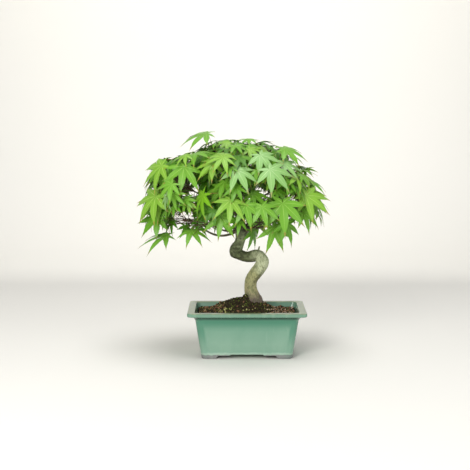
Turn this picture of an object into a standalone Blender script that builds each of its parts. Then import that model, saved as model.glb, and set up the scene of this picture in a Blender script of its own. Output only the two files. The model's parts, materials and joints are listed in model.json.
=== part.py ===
"""Japanese maple bonsai, built together with its glazed rectangular pot.

Metres, +Z up, the front of the tree towards -Y. The tree is modelled with the middle of the pot's
underside at the origin, and the last step moves everything so that the origin lies under the
middle of the whole object.
"""

import math
import random
from dataclasses import dataclass

import bmesh
import bpy
from mathutils import Matrix, Vector
from mathutils.bvhtree import BVHTree

# Driving sizes of the pot
POT_WIDTH = 0.183
POT_DEPTH = 0.128
POT_HEIGHT = 0.0738
RIM_HEIGHT = 0.0060
RIM_WIDTH = 0.0115
RIM_EDGE = 0.0012
RIM_UNDERCUT = 0.0025  # from the rim's edge in to the top of the cove under it
RIM_CORNER = 0.0060
NECK_INSET = 0.0125  # from the rim's edge in to the body, below the cove
COVE_HEIGHT = 0.0100
FOOT_INSET = 0.0212  # from the rim's edge in to the foot of the pot
BODY_CORNER = 0.0090
WALL = 0.0055
FLOOR_TOP = 0.0150
CORNER_STEPS = 4
COVE_STEPS = 3

# Openings between the pot's feet: half widths at the ground, and the two steps of the arch
ARCH_HALF_WIDTH = 0.0480
ARCH_SLOPE = 0.0035
ARCH_STEP_HEIGHT = 0.0050
ARCH_MIDDLE_HALF_WIDTH = 0.0265
ARCH_MIDDLE_SLOPE = 0.0020
ARCH_HEIGHT = 0.0070
SIDE_ARCH_HALF_WIDTH = 0.0235
SIDE_ARCH_MIDDLE_HALF_WIDTH = 0.0130

# Gap that touching pieces keep
SEAT_GAP = 0.0003

# Soil: level at the walls, with a mound that is broad on the trunk's left and steep on its right
SOIL_EDGE_HEIGHT = 0.0655
SOIL_MOUND_SPREAD = 0.0280
SOIL_MOUND_SWING = 0.0160
SOIL_MOUND_POWER = 3
SOIL_PLATEAU = 0.0160
SOIL_RINGS = 6
SOIL_SIDE_STEPS = 4
SOIL_WAVES = 5
SOIL_WAVE_RATE = (60, 160)
SOIL_WAVE_SIZE = (0.0004, 0.0009)
SOIL_SEED = 11

# Trunk: side offset, depth offset, height and radius of the points that pull its curve
TRUNK_PULLS = (
    (0.0115, 0.000, 0.081, 0.0102),
    (0.0085, 0.001, 0.094, 0.0099),
    (0.0010, 0.003, 0.111, 0.0094),
    (0.0145, -0.004, 0.129, 0.0095),
    (0.0285, -0.006, 0.146, 0.0100),
    (0.0215, -0.001, 0.159, 0.0094),
    (0.0025, 0.004, 0.1505, 0.0074),
    (-0.0185, 0.003, 0.1545, 0.0074),
    (-0.0245, -0.001, 0.165, 0.0082),
    (-0.0105, -0.003, 0.180, 0.0072),
    (-0.0070, 0.000, 0.197, 0.0080),
    (-0.0140, 0.002, 0.219, 0.0062),
    (-0.0080, -0.001, 0.246, 0.0044),
    (-0.0150, 0.001, 0.270, 0.0032),
    (-0.0110, 0.000, 0.292, 0.0022),
)
TRUNK_SIDES = 12
TRUNK_STEP = 0.0070
TRUNK_CUT = 1  # the ring at which the trunk leaves the soil
ROOT_FLARE = 0.34
ROOT_FLARE_HEIGHT = 0.0070
ROOT_LOBES = 5
ROOT_LOBE_DEPTH = 0.13
BURL_HEIGHT = 0.1820  # the trunk swells below its lowest boughs
BURL_SPREAD = 0.0150
BURL_SWELL = 0.42
STUB_HEIGHT_SHARE = 0.34
STUB_LEAN = Vector((0.25, -0.15, 1.0))
STUB_RADIUS = 0.0013
STUB_LENGTH = 0.0060

# Boughs: each runs this share of the way to the middle of its foliage
BOUGH_SHARE = 0.66
BOUGH_SWAY = 0.07
BOUGH_TAPER = 0.45
BOUGH_SIDES = 7
BOUGH_STEP = 0.0120
LIMB_CLEARANCE = 0.0010

# Crown: a dome that the leaves' joints lie on
CROWN_MIDDLE = Vector((-0.0225, 0.000, 0.208))
CROWN_HALF_WIDTH = 0.126
CROWN_HALF_DEPTH = 0.110
CROWN_RISE = 0.121
CROWN_TILT = 0.10  # the skirt rises to the right by this much of the way across
CROWN_SHOULDER = 3.2  # 2 is an ellipsoid, larger is squarer
CROWN_SHOULDER_SWING = 0.8  # squarer on the left, rounder on the right

# The crown is open where the wall shows between the leaves, seen from the front
VIEW_POINT = Vector((-0.0184, -1.825, 0.379))
OPENINGS = (
    (-0.102, 0.212, 0.016),
    (-0.080, 0.259, 0.009),
    (0.021, 0.254, 0.009),
    (0.067, 0.242, 0.010),
    (-0.042, 0.195, 0.010),
    (0.070, 0.297, 0.009),
)

# Left, low, right and high ends of the stretch of trunk that no leaf hangs in front of
BARE_TRUNK = (-0.0230, 0.1500, -0.0020, 0.1830)

# Leaves: seven pointed lobes, the middle one first
LOBE_LENGTH = 0.039
LOBE_ANGLES = (0.0, 37.0, 76.0, 120.0)
LOBE_SHARES = (1.00, 0.94, 0.74, 0.44)
NOTCH_SHARE = 0.40
BASE_SHARE = 0.12
LEAF_DROOP = 0.26
LEAF_HALF_THICKNESS = 0.0007
LEAF_CLEARANCE = 0.0006
STALK_RADIUS = 0.0006
STALK_ROOT_RADIUS = 0.0004
STALK_BEND = 0.0035
STALK_REACH = 0.042
STALK_LEAST = 0.012
STALK_SLANT = 0.36  # the least cosine between a stalk and the way that its blade faces
STALK_SHARED = 0.22  # near its root a stalk may run close to its own twig
TWIG_RADIUS = 0.0016
TWIG_TIP_RADIUS = 0.0012
TWIG_PULL_BACK = 0.020
TWIG_BOW = 0.10
STEM_LEAST = 0.012
LEAVES_PER_TWIG = 4
OUTER_SITES = 300
INNER_SITES = 80
LEAF_LIMIT = 168
LOW_BIAS = 1.2  # more leaves on the steep sides than near the top
SHELLS = ((OUTER_SITES, -0.08, 0.93, 1.02), (INNER_SITES, 0.0, 0.66, 0.80))
OUTWARD_LOOK = 0.75
UPWARD_LOOK = 0.62
LOOK_JITTER = 0.22
HEADING_JITTER = 0.70
GROWTH_SEED = 27
TRIES = 14
LOOSE_SHIFT = 0.008
LOOSE_LOOK = 0.35
LOOSE_TURN = 0.60
LOOSE_SHRINK = 0.18

# Colours, linear
COLOURS = {
    "glaze": (0.24, 0.43, 0.31),
    "soil": (0.062, 0.056, 0.025),
    "bark": (0.30, 0.29, 0.18),
    "leaf": (0.16, 0.33, 0.06),
}


@dataclass(frozen=True)
class Branch:
    """One bough and the mass of foliage that it carries."""

    name: str
    trunk_height: float
    azimuth: float  # degrees from +X, turning towards the back
    reach: float  # middle of the foliage, as a share of the crown's half sizes
    height: float
    sag: float
    radius: float


BRANCHES = (
    Branch("low_left", 0.1950, 184, 0.66, 0.203, 0.014, 0.0027),
    Branch("low_front_left", 0.2010, 238, 0.68, 0.208, 0.006, 0.0026),
    Branch("low_front_right", 0.1985, 302, 0.68, 0.208, 0.006, 0.0028),
    Branch("low_right", 0.2040, 4, 0.66, 0.206, 0.008, 0.0030),
    Branch("low_back_right", 0.2060, 62, 0.68, 0.208, 0.004, 0.0026),
    Branch("low_back_left", 0.1990, 122, 0.68, 0.208, 0.004, 0.0026),
    Branch("high_left", 0.2200, 196, 0.66, 0.268, 0.000, 0.0024),
    Branch("high_front", 0.2280, 276, 0.62, 0.268, 0.000, 0.0023),
    Branch("high_right", 0.2240, 346, 0.62, 0.266, 0.000, 0.0025),
    Branch("high_back", 0.2320, 88, 0.62, 0.268, 0.000, 0.0022),
    Branch("top_left", 0.2480, 170, 0.36, 0.300, 0.000, 0.0020),
    Branch("top_right", 0.0, 20, 0.22, 0.306, 0.000, 0.0020),
)
CROWN_LEADER = "top_right"  # grows from the trunk's own tip

# Leaves that stand out on the front: joint, lobe heading (0 hangs straight down, 90 points to
# the right), facing (0 looks at the front, 90 looks up) and size as a share of a full leaf
FEATURE_SIDE_LOOK = 0.35
FEATURE_LEAVES = (
    ((-0.063, -0.015, 0.343), -63, 62, 0.95),
    ((-0.120, -0.025, 0.294), -55, 42, 1.16),
    ((-0.095, -0.070, 0.297), -8, 34, 1.04),
    ((-0.051, -0.075, 0.302), -25, 58, 0.86),
    ((-0.017, -0.090, 0.290), 20, 48, 1.05),
    ((-0.069, -0.095, 0.255), -20, 26, 1.00),
    ((-0.132, -0.035, 0.248), -40, 36, 1.20),
    ((-0.124, -0.040, 0.194), -48, 64, 1.12),
    ((-0.086, -0.070, 0.206), 4, 48, 1.05),
    ((-0.026, -0.102, 0.250), 0, 40, 0.96),
    ((0.031, -0.085, 0.294), 28, 48, 1.05),
    ((0.056, -0.085, 0.250), 3, 27, 1.16),
    ((0.089, -0.040, 0.254), 57, 42, 1.16),
    ((0.080, -0.050, 0.228), 40, 42, 1.05),
    ((0.038, -0.075, 0.209), 20, 14, 1.14),
    ((0.022, -0.100, 0.241), 6, 28, 0.95),
    ((-0.004, -0.115, 0.245), -3, 38, 0.95),
    ((0.056, -0.045, 0.322), 68, 68, 1.05),
    ((0.056, -0.065, 0.302), 80, 52, 0.95),
    ((0.000, -0.030, 0.335), 40, 78, 0.90),
)


def clear_scene():
    """Take every object out of the file."""
    for thing in list(bpy.data.objects):
        bpy.data.objects.remove(thing, do_unlink=True)


def make_material(name, colour, roughness):
    """A plain surface of one colour."""
    material = bpy.data.materials.new(name)
    material.use_nodes = True
    surface = material.node_tree.nodes["Principled BSDF"]
    surface.inputs["Base Color"].default_value = (*colour, 1.0)
    surface.inputs["Roughness"].default_value = roughness
    surface.inputs["Metallic"].default_value = 0.0
    return material


def add_object(name, mesh, material=None, smooth_angle=None):
    """Put a mesh in the scene as a named object."""
    thing = bpy.data.objects.new(name, mesh)
    bpy.context.scene.collection.objects.link(thing)
    if material:
        mesh.materials.clear()
        mesh.materials.append(material)
    if smooth_angle:
        mesh.shade_smooth()
        mesh.set_sharp_from_angle(angle=math.radians(smooth_angle))
    return thing


def mesh_from(points, faces, name="shape"):
    """A mesh from points and faces."""
    mesh = bpy.data.meshes.new(name)
    mesh.from_pydata([tuple(point) for point in points], [], faces)
    return mesh


def apply_boolean(thing, operation, other=None, collection=None):
    """Cut or join a shape, and keep the result as its mesh."""
    modifier = thing.modifiers.new("join", "BOOLEAN")
    modifier.operation = operation
    modifier.solver = "EXACT"
    if collection:
        modifier.operand_type = "COLLECTION"
        modifier.collection = collection
    else:
        modifier.object = other
    graph = bpy.context.evaluated_depsgraph_get()
    mesh = bpy.data.meshes.new_from_object(thing.evaluated_get(graph))
    thing.modifiers.clear()
    thing.data = mesh


def rounded_rectangle(width, depth, corner, z, corner_steps, side_steps=1):
    """Points round a rectangle with round corners, starting at the middle of the right side."""
    points = []
    for quarter in range(4):
        turn = math.pi / 2 * quarter
        corner_x = (width / 2 - corner) * (1 if quarter in (0, 3) else -1)
        corner_y = (depth / 2 - corner) * (1 if quarter in (0, 1) else -1)
        for step in range(corner_steps + 1):
            angle = turn + math.pi / 2 * step / corner_steps
            points.append(
                Vector((corner_x + corner * math.cos(angle), corner_y + corner * math.sin(angle), z))
            )
    if side_steps == 1:
        return points
    spaced = []
    for index, point in enumerate(points):
        spaced.append(point)
        if index % (corner_steps + 1) == corner_steps:
            following = points[(index + 1) % len(points)]
            spaced += [point.lerp(following, step / side_steps) for step in range(1, side_steps)]
    return spaced


def loft(loops):
    """A closed shape through loops of equally many points, with flat ends."""
    count = len(loops[0])
    points = [point for loop in loops for point in loop]
    faces = [tuple(reversed(range(count)))]
    for level in range(len(loops) - 1):
        low = level * count
        high = low + count
        faces += [(low + i, low + (i + 1) % count, high + (i + 1) % count, high + i) for i in range(count)]
    last = (len(loops) - 1) * count
    faces.append(tuple(range(last, last + count)))
    return points, faces


def inset_loop(inset, z, corner, side_steps=1):
    """A loop of the pot, set in from its rim all round."""
    return rounded_rectangle(
        POT_WIDTH - 2 * inset, POT_DEPTH - 2 * inset, corner, z, CORNER_STEPS, side_steps
    )


def cavity_inset(z):
    """How far the inner wall lies from the rim's edge at a height."""
    neck = POT_HEIGHT - RIM_HEIGHT - COVE_HEIGHT
    if z > neck:
        share = (POT_HEIGHT - z) / (POT_HEIGHT - neck)
        return RIM_WIDTH + (NECK_INSET + WALL - RIM_WIDTH) * share
    return NECK_INSET + WALL + (FOOT_INSET - NECK_INSET) * (neck - z) / neck


def arch_profile(half_width, middle_half_width):
    """Half outline of the arch between two feet, then its mirror, as points across and up."""
    half = [
        (half_width, -ARCH_HEIGHT),
        (half_width, 0.0),
        (half_width - ARCH_SLOPE, ARCH_STEP_HEIGHT),
        (middle_half_width, ARCH_STEP_HEIGHT),
        (middle_half_width - ARCH_MIDDLE_SLOPE, ARCH_HEIGHT),
    ]
    return half + [(-across, up) for across, up in reversed(half)]


def arch_cutter(profile, along_x):
    """A bar with the arch's outline that runs past both faces of the pot."""
    bar = bmesh.new()
    reach = POT_WIDTH
    outline = []
    for across, up in profile:
        spot = (-reach, across, up) if along_x else (across, -reach, up)
        outline.append(bar.verts.new(spot))
    face = bar.faces.new(outline)
    run = Vector((2 * reach, 0, 0)) if along_x else Vector((0, 2 * reach, 0))
    swept = bmesh.ops.extrude_face_region(bar, geom=[face])
    moved = [item for item in swept["geom"] if isinstance(item, bmesh.types.BMVert)]
    bmesh.ops.translate(bar, verts=moved, vec=run)
    bmesh.ops.recalc_face_normals(bar, faces=bar.faces)
    mesh = bpy.data.meshes.new("arch")
    bar.to_mesh(mesh)
    bar.free()
    return add_object("arch_cutter", mesh)


def build_pot(material):
    """The glazed pot: a tapering body, a coved neck, a flat rim, and four feet."""
    rim_bottom = POT_HEIGHT - RIM_HEIGHT
    neck = rim_bottom - COVE_HEIGHT
    outside = [inset_loop(FOOT_INSET, 0.0, BODY_CORNER)]
    for step in range(COVE_STEPS + 1):
        turn = math.pi / 2 * step / COVE_STEPS
        inset = RIM_UNDERCUT + (NECK_INSET - RIM_UNDERCUT) * math.cos(turn)
        corner = RIM_CORNER + (BODY_CORNER - RIM_CORNER) * math.cos(turn)
        outside.append(inset_loop(inset, neck + COVE_HEIGHT * math.sin(turn), corner))
    outside += [
        inset_loop(0.0, rim_bottom + RIM_EDGE, RIM_CORNER),
        inset_loop(0.0, POT_HEIGHT - RIM_EDGE, RIM_CORNER),
        inset_loop(RIM_EDGE, POT_HEIGHT, RIM_CORNER),
    ]
    inside = [
        inset_loop(RIM_WIDTH - RIM_EDGE, POT_HEIGHT, RIM_CORNER),
        inset_loop(cavity_inset(POT_HEIGHT - RIM_EDGE), POT_HEIGHT - RIM_EDGE, RIM_CORNER),
        inset_loop(cavity_inset(neck), neck, RIM_CORNER),
        inset_loop(cavity_inset(FLOOR_TOP), FLOOR_TOP, RIM_CORNER),
    ]
    pot = add_object("pot", mesh_from(*loft(outside + inside)), material)
    for half_width, middle, along_x in (
        (ARCH_HALF_WIDTH, ARCH_MIDDLE_HALF_WIDTH, False),
        (SIDE_ARCH_HALF_WIDTH, SIDE_ARCH_MIDDLE_HALF_WIDTH, True),
    ):
        cutter = arch_cutter(arch_profile(half_width, middle), along_x)
        apply_boolean(pot, "DIFFERENCE", cutter)
        bpy.data.objects.remove(cutter, do_unlink=True)
    pot.data.shade_smooth()
    pot.data.set_sharp_from_angle(angle=math.radians(35))
    return pot


def soil_height(spot, foot, bumps):
    """Height of the soil at a spot: low at the walls, with a lumpy mound round the foot of the trunk."""
    offset = spot - foot.xy
    away = offset.length - SOIL_PLATEAU
    plateau = foot.z - SEAT_GAP
    if away <= SEAT_GAP:
        return plateau
    spread = SOIL_MOUND_SPREAD - SOIL_MOUND_SWING * offset.normalized().x
    fade = math.exp(-((away / spread) ** SOIL_MOUND_POWER))
    lump = sum(size * math.cos(kx * spot.x + ky * spot.y + turn) for kx, ky, turn, size in bumps)
    return SOIL_EDGE_HEIGHT + (plateau - SOIL_EDGE_HEIGHT) * fade + lump * (1 - fade)


def build_soil(material, foot):
    """The soil that fills the pot, with a flat spot where the trunk is cut at its foot."""
    draw = random.Random(SOIL_SEED)
    bumps = [
        (
            draw.uniform(*SOIL_WAVE_RATE),
            draw.uniform(*SOIL_WAVE_RATE),
            draw.uniform(0, 2 * math.pi),
            draw.uniform(*SOIL_WAVE_SIZE),
        )
        for _ in range(SOIL_WAVES)
    ]

    def wall_loop(z):
        return inset_loop(cavity_inset(z) + SEAT_GAP, z, RIM_CORNER, SOIL_SIDE_STEPS)

    neck = POT_HEIGHT - RIM_HEIGHT - COVE_HEIGHT
    wall = wall_loop(SOIL_EDGE_HEIGHT)
    loops = [wall_loop(FLOOR_TOP + SEAT_GAP), wall_loop(neck), wall]
    for ring in range(1, SOIL_RINGS + 1):
        share = ring / SOIL_RINGS
        loop = []
        for point in wall:
            flat = foot.xy + (point.xy - foot.xy).normalized() * SOIL_PLATEAU
            spot = point.xy.lerp(flat, share)
            loop.append(Vector((*spot, soil_height(spot, foot, bumps))))
        loops.append(loop)
    return add_object("soil", mesh_from(*loft(loops)), material, 60)


def spline(pulls, step):
    """Points and radii along a smooth curve that the given points pull, from first to last."""
    padded = [pulls[0] * 2 - pulls[1], *pulls, pulls[-1] * 2 - pulls[-2]]
    samples = []
    for index in range(len(padded) - 3):
        a, b, c, d = padded[index : index + 4]
        pieces = max(2, round((c - b).length / step))
        for piece in range(pieces):
            t = piece / pieces
            near = a * (1 - t) ** 3 + b * (3 * t**3 - 6 * t**2 + 4)
            far = c * (-3 * t**3 + 3 * t**2 + 3 * t + 1) + d * t**3
            samples.append((near + far) / 6)
    samples.append(pulls[-1].copy())
    return samples


def tube(centres, radii, sides, first_up=None, swell=None):
    """A closed tube along a path, its rings turned as little as possible."""
    count = len(centres)
    tangents = [
        (centres[min(i + 1, count - 1)] - centres[max(i - 1, 0)]).normalized() for i in range(count)
    ]
    if first_up:
        tangents[0] = first_up.normalized()
    side = tangents[0].orthogonal().normalized()
    loops = []
    for index, (centre, radius, tangent) in enumerate(zip(centres, radii, tangents)):
        side = (side - tangent * side.dot(tangent)).normalized()
        across = tangent.cross(side)
        loop = []
        for corner in range(sides):
            angle = 2 * math.pi * corner / sides
            reach = radius * (swell(index, angle) if swell else 1.0)
            loop.append(centre + (side * math.cos(angle) + across * math.sin(angle)) * reach)
        loops.append(loop)
    return loft(loops)


def trunk_path():
    """Centres and radii of the trunk, from the flat cut at the soil to its tip."""
    pulls = [Vector(pull) for pull in TRUNK_PULLS]
    samples = spline(pulls, TRUNK_STEP)
    centres = [sample.xyz for sample in samples]
    radii = [sample.w for sample in samples]
    return centres, radii


def trunk_swell(centres):
    """How the trunk spreads at its foot, more where a root runs out, and swells below the boughs."""
    foot = centres[0].z

    def swell(index, angle):
        height = centres[index].z
        share = math.exp(-(height - foot) / ROOT_FLARE_HEIGHT)
        lobes = 1 + ROOT_LOBE_DEPTH * math.cos(ROOT_LOBES * angle) * share
        burl = BURL_SWELL * math.exp(-(((height - BURL_HEIGHT) / BURL_SPREAD) ** 2))
        return lobes * (1 + ROOT_FLARE * share) + burl

    return swell


def trunk_shape(centres, radii, room=0.0):
    """The trunk above the soil, or the space that it takes with some room round it."""
    bare = centres[TRUNK_CUT:]
    return tube(bare, with_room(radii[TRUNK_CUT:], room), TRUNK_SIDES, Vector((0, 0, 1)), trunk_swell(bare))


def build_trunk(material, centres, radii):
    """The winding trunk with its root flare and the stub of one cut twig."""
    trunk = add_object("trunk", mesh_from(*trunk_shape(centres, radii)), material)
    start = round(STUB_HEIGHT_SHARE * len(centres))
    foot = centres[start]
    ends = [foot, foot + STUB_LEAN.normalized() * (radii[start] + STUB_LENGTH)]
    stub = add_object("stub", mesh_from(*tube(ends, [STUB_RADIUS, STUB_RADIUS * 0.8], 6)))
    apply_boolean(trunk, "UNION", stub)
    bpy.data.objects.remove(stub, do_unlink=True)
    trunk.data.shade_smooth()
    return trunk


def crown_exponent(azimuth):
    """How square the dome is on one side."""
    return CROWN_SHOULDER - CROWN_SHOULDER_SWING * math.cos(azimuth)


def crown_point(direction, scale=1.0):
    """The dome's surface in a direction, and the way that it faces there."""
    power = crown_exponent(math.atan2(direction.y, direction.x))
    total = sum(abs(part) ** power for part in direction)
    reach = scale * total ** (-1 / power)
    sizes = Vector((CROWN_HALF_WIDTH, CROWN_HALF_DEPTH, CROWN_RISE))
    offset = Vector(part * size * reach for part, size in zip(direction, sizes))
    facing = Vector(part / size for part, size in zip(offset, sizes)).normalized()
    offset.z += CROWN_TILT * offset.x * (1 - offset.z / CROWN_RISE)
    return CROWN_MIDDLE + offset, facing


def branch_middle(branch):
    """The middle of a branch's foliage."""
    angle = math.radians(branch.azimuth)
    return Vector((
        CROWN_MIDDLE.x + CROWN_HALF_WIDTH * branch.reach * math.cos(angle),
        CROWN_MIDDLE.y + CROWN_HALF_DEPTH * branch.reach * math.sin(angle),
        branch.height,
    ))


def bough_path(branch, centres):
    """A bough's curve, from the middle of the trunk to where it enters its foliage."""
    root = min(centres, key=lambda centre: abs(centre.z - branch.trunk_height))
    middle = branch_middle(branch)
    tip = root.lerp(middle, BOUGH_SHARE)
    run = tip - root
    sideways = run.cross(Vector((0, 0, 1))).normalized()
    sway = run.length * BOUGH_SWAY * (1 if branch.azimuth % 4 == 0 else -1)
    drop = Vector((0, 0, branch.sag))
    pulls = [
        root,
        root + run * 0.30 + sideways * sway - drop,
        root + run * 0.68 - sideways * sway - drop,
        tip,
    ]
    points = spline(pulls, BOUGH_STEP)
    last = len(points) - 1
    radii = [branch.radius * (1 - BOUGH_TAPER * index / last) for index in range(last + 1)]
    return points, radii


def build_bough(branch, material, centres, trunk_radii):
    """A bough cut to sit on the trunk, with its points and its tip."""
    points, radii = bough_path(branch, centres)
    shape = tube(points, radii, BOUGH_SIDES)
    bough = add_object(f"bough_{branch.name}", mesh_from(*shape), material)
    seat = add_object("seat", mesh_from(*trunk_shape(centres, trunk_radii, SEAT_GAP)))
    apply_boolean(bough, "DIFFERENCE", seat)
    bpy.data.objects.remove(seat, do_unlink=True)
    bough.data.shade_smooth()
    return bough, points, radii


def leaf_outline():
    """Angle and reach of each point round the leaf, from the foot of one side to the other."""
    lobes = list(zip(LOBE_ANGLES, LOBE_SHARES))
    right = []
    for index, (angle, share) in enumerate(lobes):
        if index:
            right.append(((lobes[index - 1][0] + angle) / 2, NOTCH_SHARE * math.sqrt(share)))
        right.append((angle, share))
    left = [(-angle, share) for angle, share in reversed(right[1:])]
    return [(-180.0, BASE_SHARE), *left, *right]


LEAF_OUTLINE = leaf_outline()


@dataclass
class Leaf:
    """One leaf: where its lobes meet, its axes, its size and where its stalk starts."""

    joint: Vector
    heading: Vector
    facing: Vector
    size: float
    root: Vector

    def shape(self, extra=0.0, with_stalk=True):
        """Points and faces of the blade and its stalk, or of the blade alone."""
        across = self.heading.cross(self.facing)
        length = LOBE_LENGTH * self.size * (1 + extra * 20)
        thick = LEAF_HALF_THICKNESS + extra
        rim = []
        for angle, share in LEAF_OUTLINE:
            turn = math.radians(angle)
            flat = (self.heading * math.cos(turn) + across * math.sin(turn)) * share * length
            rim.append(self.joint + flat - self.facing * LEAF_DROOP * length * share**2)
        count = len(rim)
        points = [*rim, self.joint + self.facing * thick]
        faces = [((i + 1) % count, i, count) for i in range(count)]
        if not with_stalk:
            points.append(self.joint - self.facing * thick)
            faces += [(i, (i + 1) % count, count + 1) for i in range(count)]
            return points, faces
        return self.add_stalk(points, faces, thick)

    def add_stalk(self, points, faces, thick):
        """Close the underside of the blade round a three-sided stalk that bends to its root."""
        count = len(LEAF_OUTLINE)
        first = len(points)
        across = self.heading.cross(self.facing)
        top = self.joint - self.facing * thick
        elbow = self.elbow()
        run = (elbow - self.root).normalized()
        rings = (
            (top, self.facing, STALK_RADIUS),
            (elbow, (run + self.facing).normalized(), STALK_RADIUS),
            (self.root, run, STALK_ROOT_RADIUS),
        )
        for centre, axis, radius in rings:
            for turn in (math.pi, -math.pi / 3, math.pi / 3):
                spoke = self.heading * math.cos(turn) + across * math.sin(turn)
                spoke = (spoke - axis * spoke.dot(axis)).normalized()
                points.append(centre + spoke * radius)
        spots = (0, count // 2 - 2, count // 2 + 2)
        for here in range(3):
            following = (here + 1) % 3
            index, end = spots[here], spots[following]
            while index != end:
                faces.append((index, (index + 1) % count, first + here))
                index = (index + 1) % count
            faces.append((end, first + following, first + here))
            for ring in (first, first + 3):
                faces.append((ring + here, ring + following, ring + 3 + following, ring + 3 + here))
        faces.append((first + 6, first + 7, first + 8))
        return points, faces

    def elbow(self):
        """Where the stalk bends, just under the blade."""
        return self.joint - self.facing * (LEAF_HALF_THICKNESS + STALK_BEND)

    def stalk_tube(self, begin):
        """The stalk with room round it, from a share of its length on."""
        elbow = self.elbow()
        path = [self.root.lerp(elbow, begin), elbow, self.joint]
        return tube(path, [STALK_RADIUS + LEAF_CLEARANCE] * 3, 3)


def seen_from_front(point):
    """Where a point is seen on the plane through the trunk."""
    share = -VIEW_POINT.y / (point.y - VIEW_POINT.y)
    return VIEW_POINT + (point - VIEW_POINT) * share


def covers_opening(points):
    """Whether points stand in one of the places where the crown is open."""
    for seen in map(seen_from_front, points):
        for x, z, radius in OPENINGS:
            if (seen.x - x) ** 2 + (seen.z - z) ** 2 < radius**2:
                return True
    return False


def hides_trunk(points):
    """Whether points stand in front of the bare stretch of trunk, or behind it."""
    left, low, right, high = BARE_TRUNK
    return any(left < seen.x < right and low < seen.z < high for seen in map(seen_from_front, points))


def tree_of(shape):
    """A tree for overlap tests."""
    points, faces = shape
    return BVHTree.FromPolygons([tuple(point) for point in points], faces)


class Solids:
    """What is already in place, with a quick test for touching it."""

    def __init__(self):
        self.items = []

    def add(self, shape, owner=None):
        """Keep a shape."""
        points = shape[0]
        middle = sum(points, Vector()) / len(points)
        size = max((point - middle).length for point in points)
        self.items.append((middle, size, tree_of(shape), owner))

    def touches(self, shape, skip=None):
        """Whether a shape meets anything in place, apart from what one owner holds."""
        points = shape[0]
        middle = sum(points, Vector()) / len(points)
        size = max((point - middle).length for point in points)
        own = None
        for other_middle, other_size, other, owner in self.items:
            if owner is not None and owner == skip:
                continue
            if (middle - other_middle).length < size + other_size:
                own = own or tree_of(shape)
                if own.overlap(other):
                    return True
        return False


@dataclass
class Site:
    """A place where a leaf may grow."""

    joint: Vector
    heading: Vector
    facing: Vector
    size: float
    feature: bool


def along_blade(way, look):
    """The part of a direction that lies in the plane of a blade."""
    return (way - look * way.dot(look)).normalized()


def random_vector(draw):
    """A vector with each part between -1 and 1."""
    return Vector((draw.uniform(-1, 1), draw.uniform(-1, 1), draw.uniform(-1, 1)))


def feature_site(row):
    """A leaf that stands out on the front."""
    joint, heading, facing, size = row
    turn = math.radians(heading)
    lift = math.radians(facing)
    sideways = math.sin(turn) * FEATURE_SIDE_LOOK * math.cos(lift)
    look = Vector((sideways, -math.cos(lift), math.sin(lift))).normalized()
    lobe = along_blade(Vector((math.sin(turn), 0, -math.cos(turn))), look)
    return Site(Vector(joint), lobe, look, size, True)


def dome_site(direction, scale, draw):
    """A leaf on the dome, facing out and up, its lobes hanging outwards."""
    joint, outward = crown_point(direction, scale)
    jitter = random_vector(draw)
    look = (outward * OUTWARD_LOOK + Vector((0, 0, UPWARD_LOOK)) + jitter * LOOK_JITTER).normalized()
    level = Vector((outward.x, outward.y, 0))
    if level.length < 0.05:
        level = Vector((jitter.x, jitter.y, 0))
    lobe = along_blade(level.normalized() * 0.7 - Vector((0, 0, 1)), look)
    lobe.rotate(Matrix.Rotation(draw.uniform(-HEADING_JITTER, HEADING_JITTER), 3, look))
    return Site(joint, lobe, look, draw.uniform(0.74, 1.04), False)


def leaf_sites(draw):
    """Every place for a leaf: those that stand out, then evenly over the dome, then inside."""
    sites = [feature_site(row) for row in FEATURE_LEAVES]
    golden = math.pi * (3 - math.sqrt(5))
    for count, low, near, far in SHELLS:
        shell = []
        for index in range(count):
            rise = low + (1 - low) * ((index + 0.5) / count) ** LOW_BIAS
            level = math.sqrt(1 - rise * rise)
            angle = index * golden
            direction = Vector((level * math.cos(angle), level * math.sin(angle), rise))
            shell.append(dome_site(direction, draw.uniform(near, far), draw))
        draw.shuffle(shell)
        sites += shell
    return sites


@dataclass
class Mass:
    """The foliage of one branch while it grows."""

    branch: Branch
    start: Vector
    course: Vector
    radius: float
    sites: list
    twigs: list
    leaves: list


def nearest_mass(joint, masses):
    """The mass whose space a leaf stands in."""
    return min(masses, key=lambda mass: (branch_middle(mass.branch) - joint).length)


def twig_points(start, end, outward):
    """A twig's curve, bowed a little to the outside."""
    middle = start.lerp(end, 0.5) + outward * (end - start).length * TWIG_BOW
    return [start, start.lerp(middle, 0.9), middle.lerp(end, 0.55), end]


def with_room(radii, room):
    """Radii made larger by the room that a limb keeps round it."""
    return [radius + room for radius in radii]


def twig_radii(count, thick):
    """A twig's radii, from root to tip."""
    return [thick + (TWIG_TIP_RADIUS - thick) * index / (count - 1) for index in range(count)]


def grow_stem(mass):
    """The stem of a mass, which goes on from the tip of its bough."""
    begin = mass.start + mass.course * SEAT_GAP
    reach = (branch_middle(mass.branch) - begin).dot(mass.course) * 0.8
    end = begin + mass.course * max(STEM_LEAST, reach)
    radii = [mass.radius, mass.radius * 0.9, mass.radius * 0.75]
    mass.twigs.append(([begin, begin.lerp(end, 0.5), end], radii, 5))
    return begin, end


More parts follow.
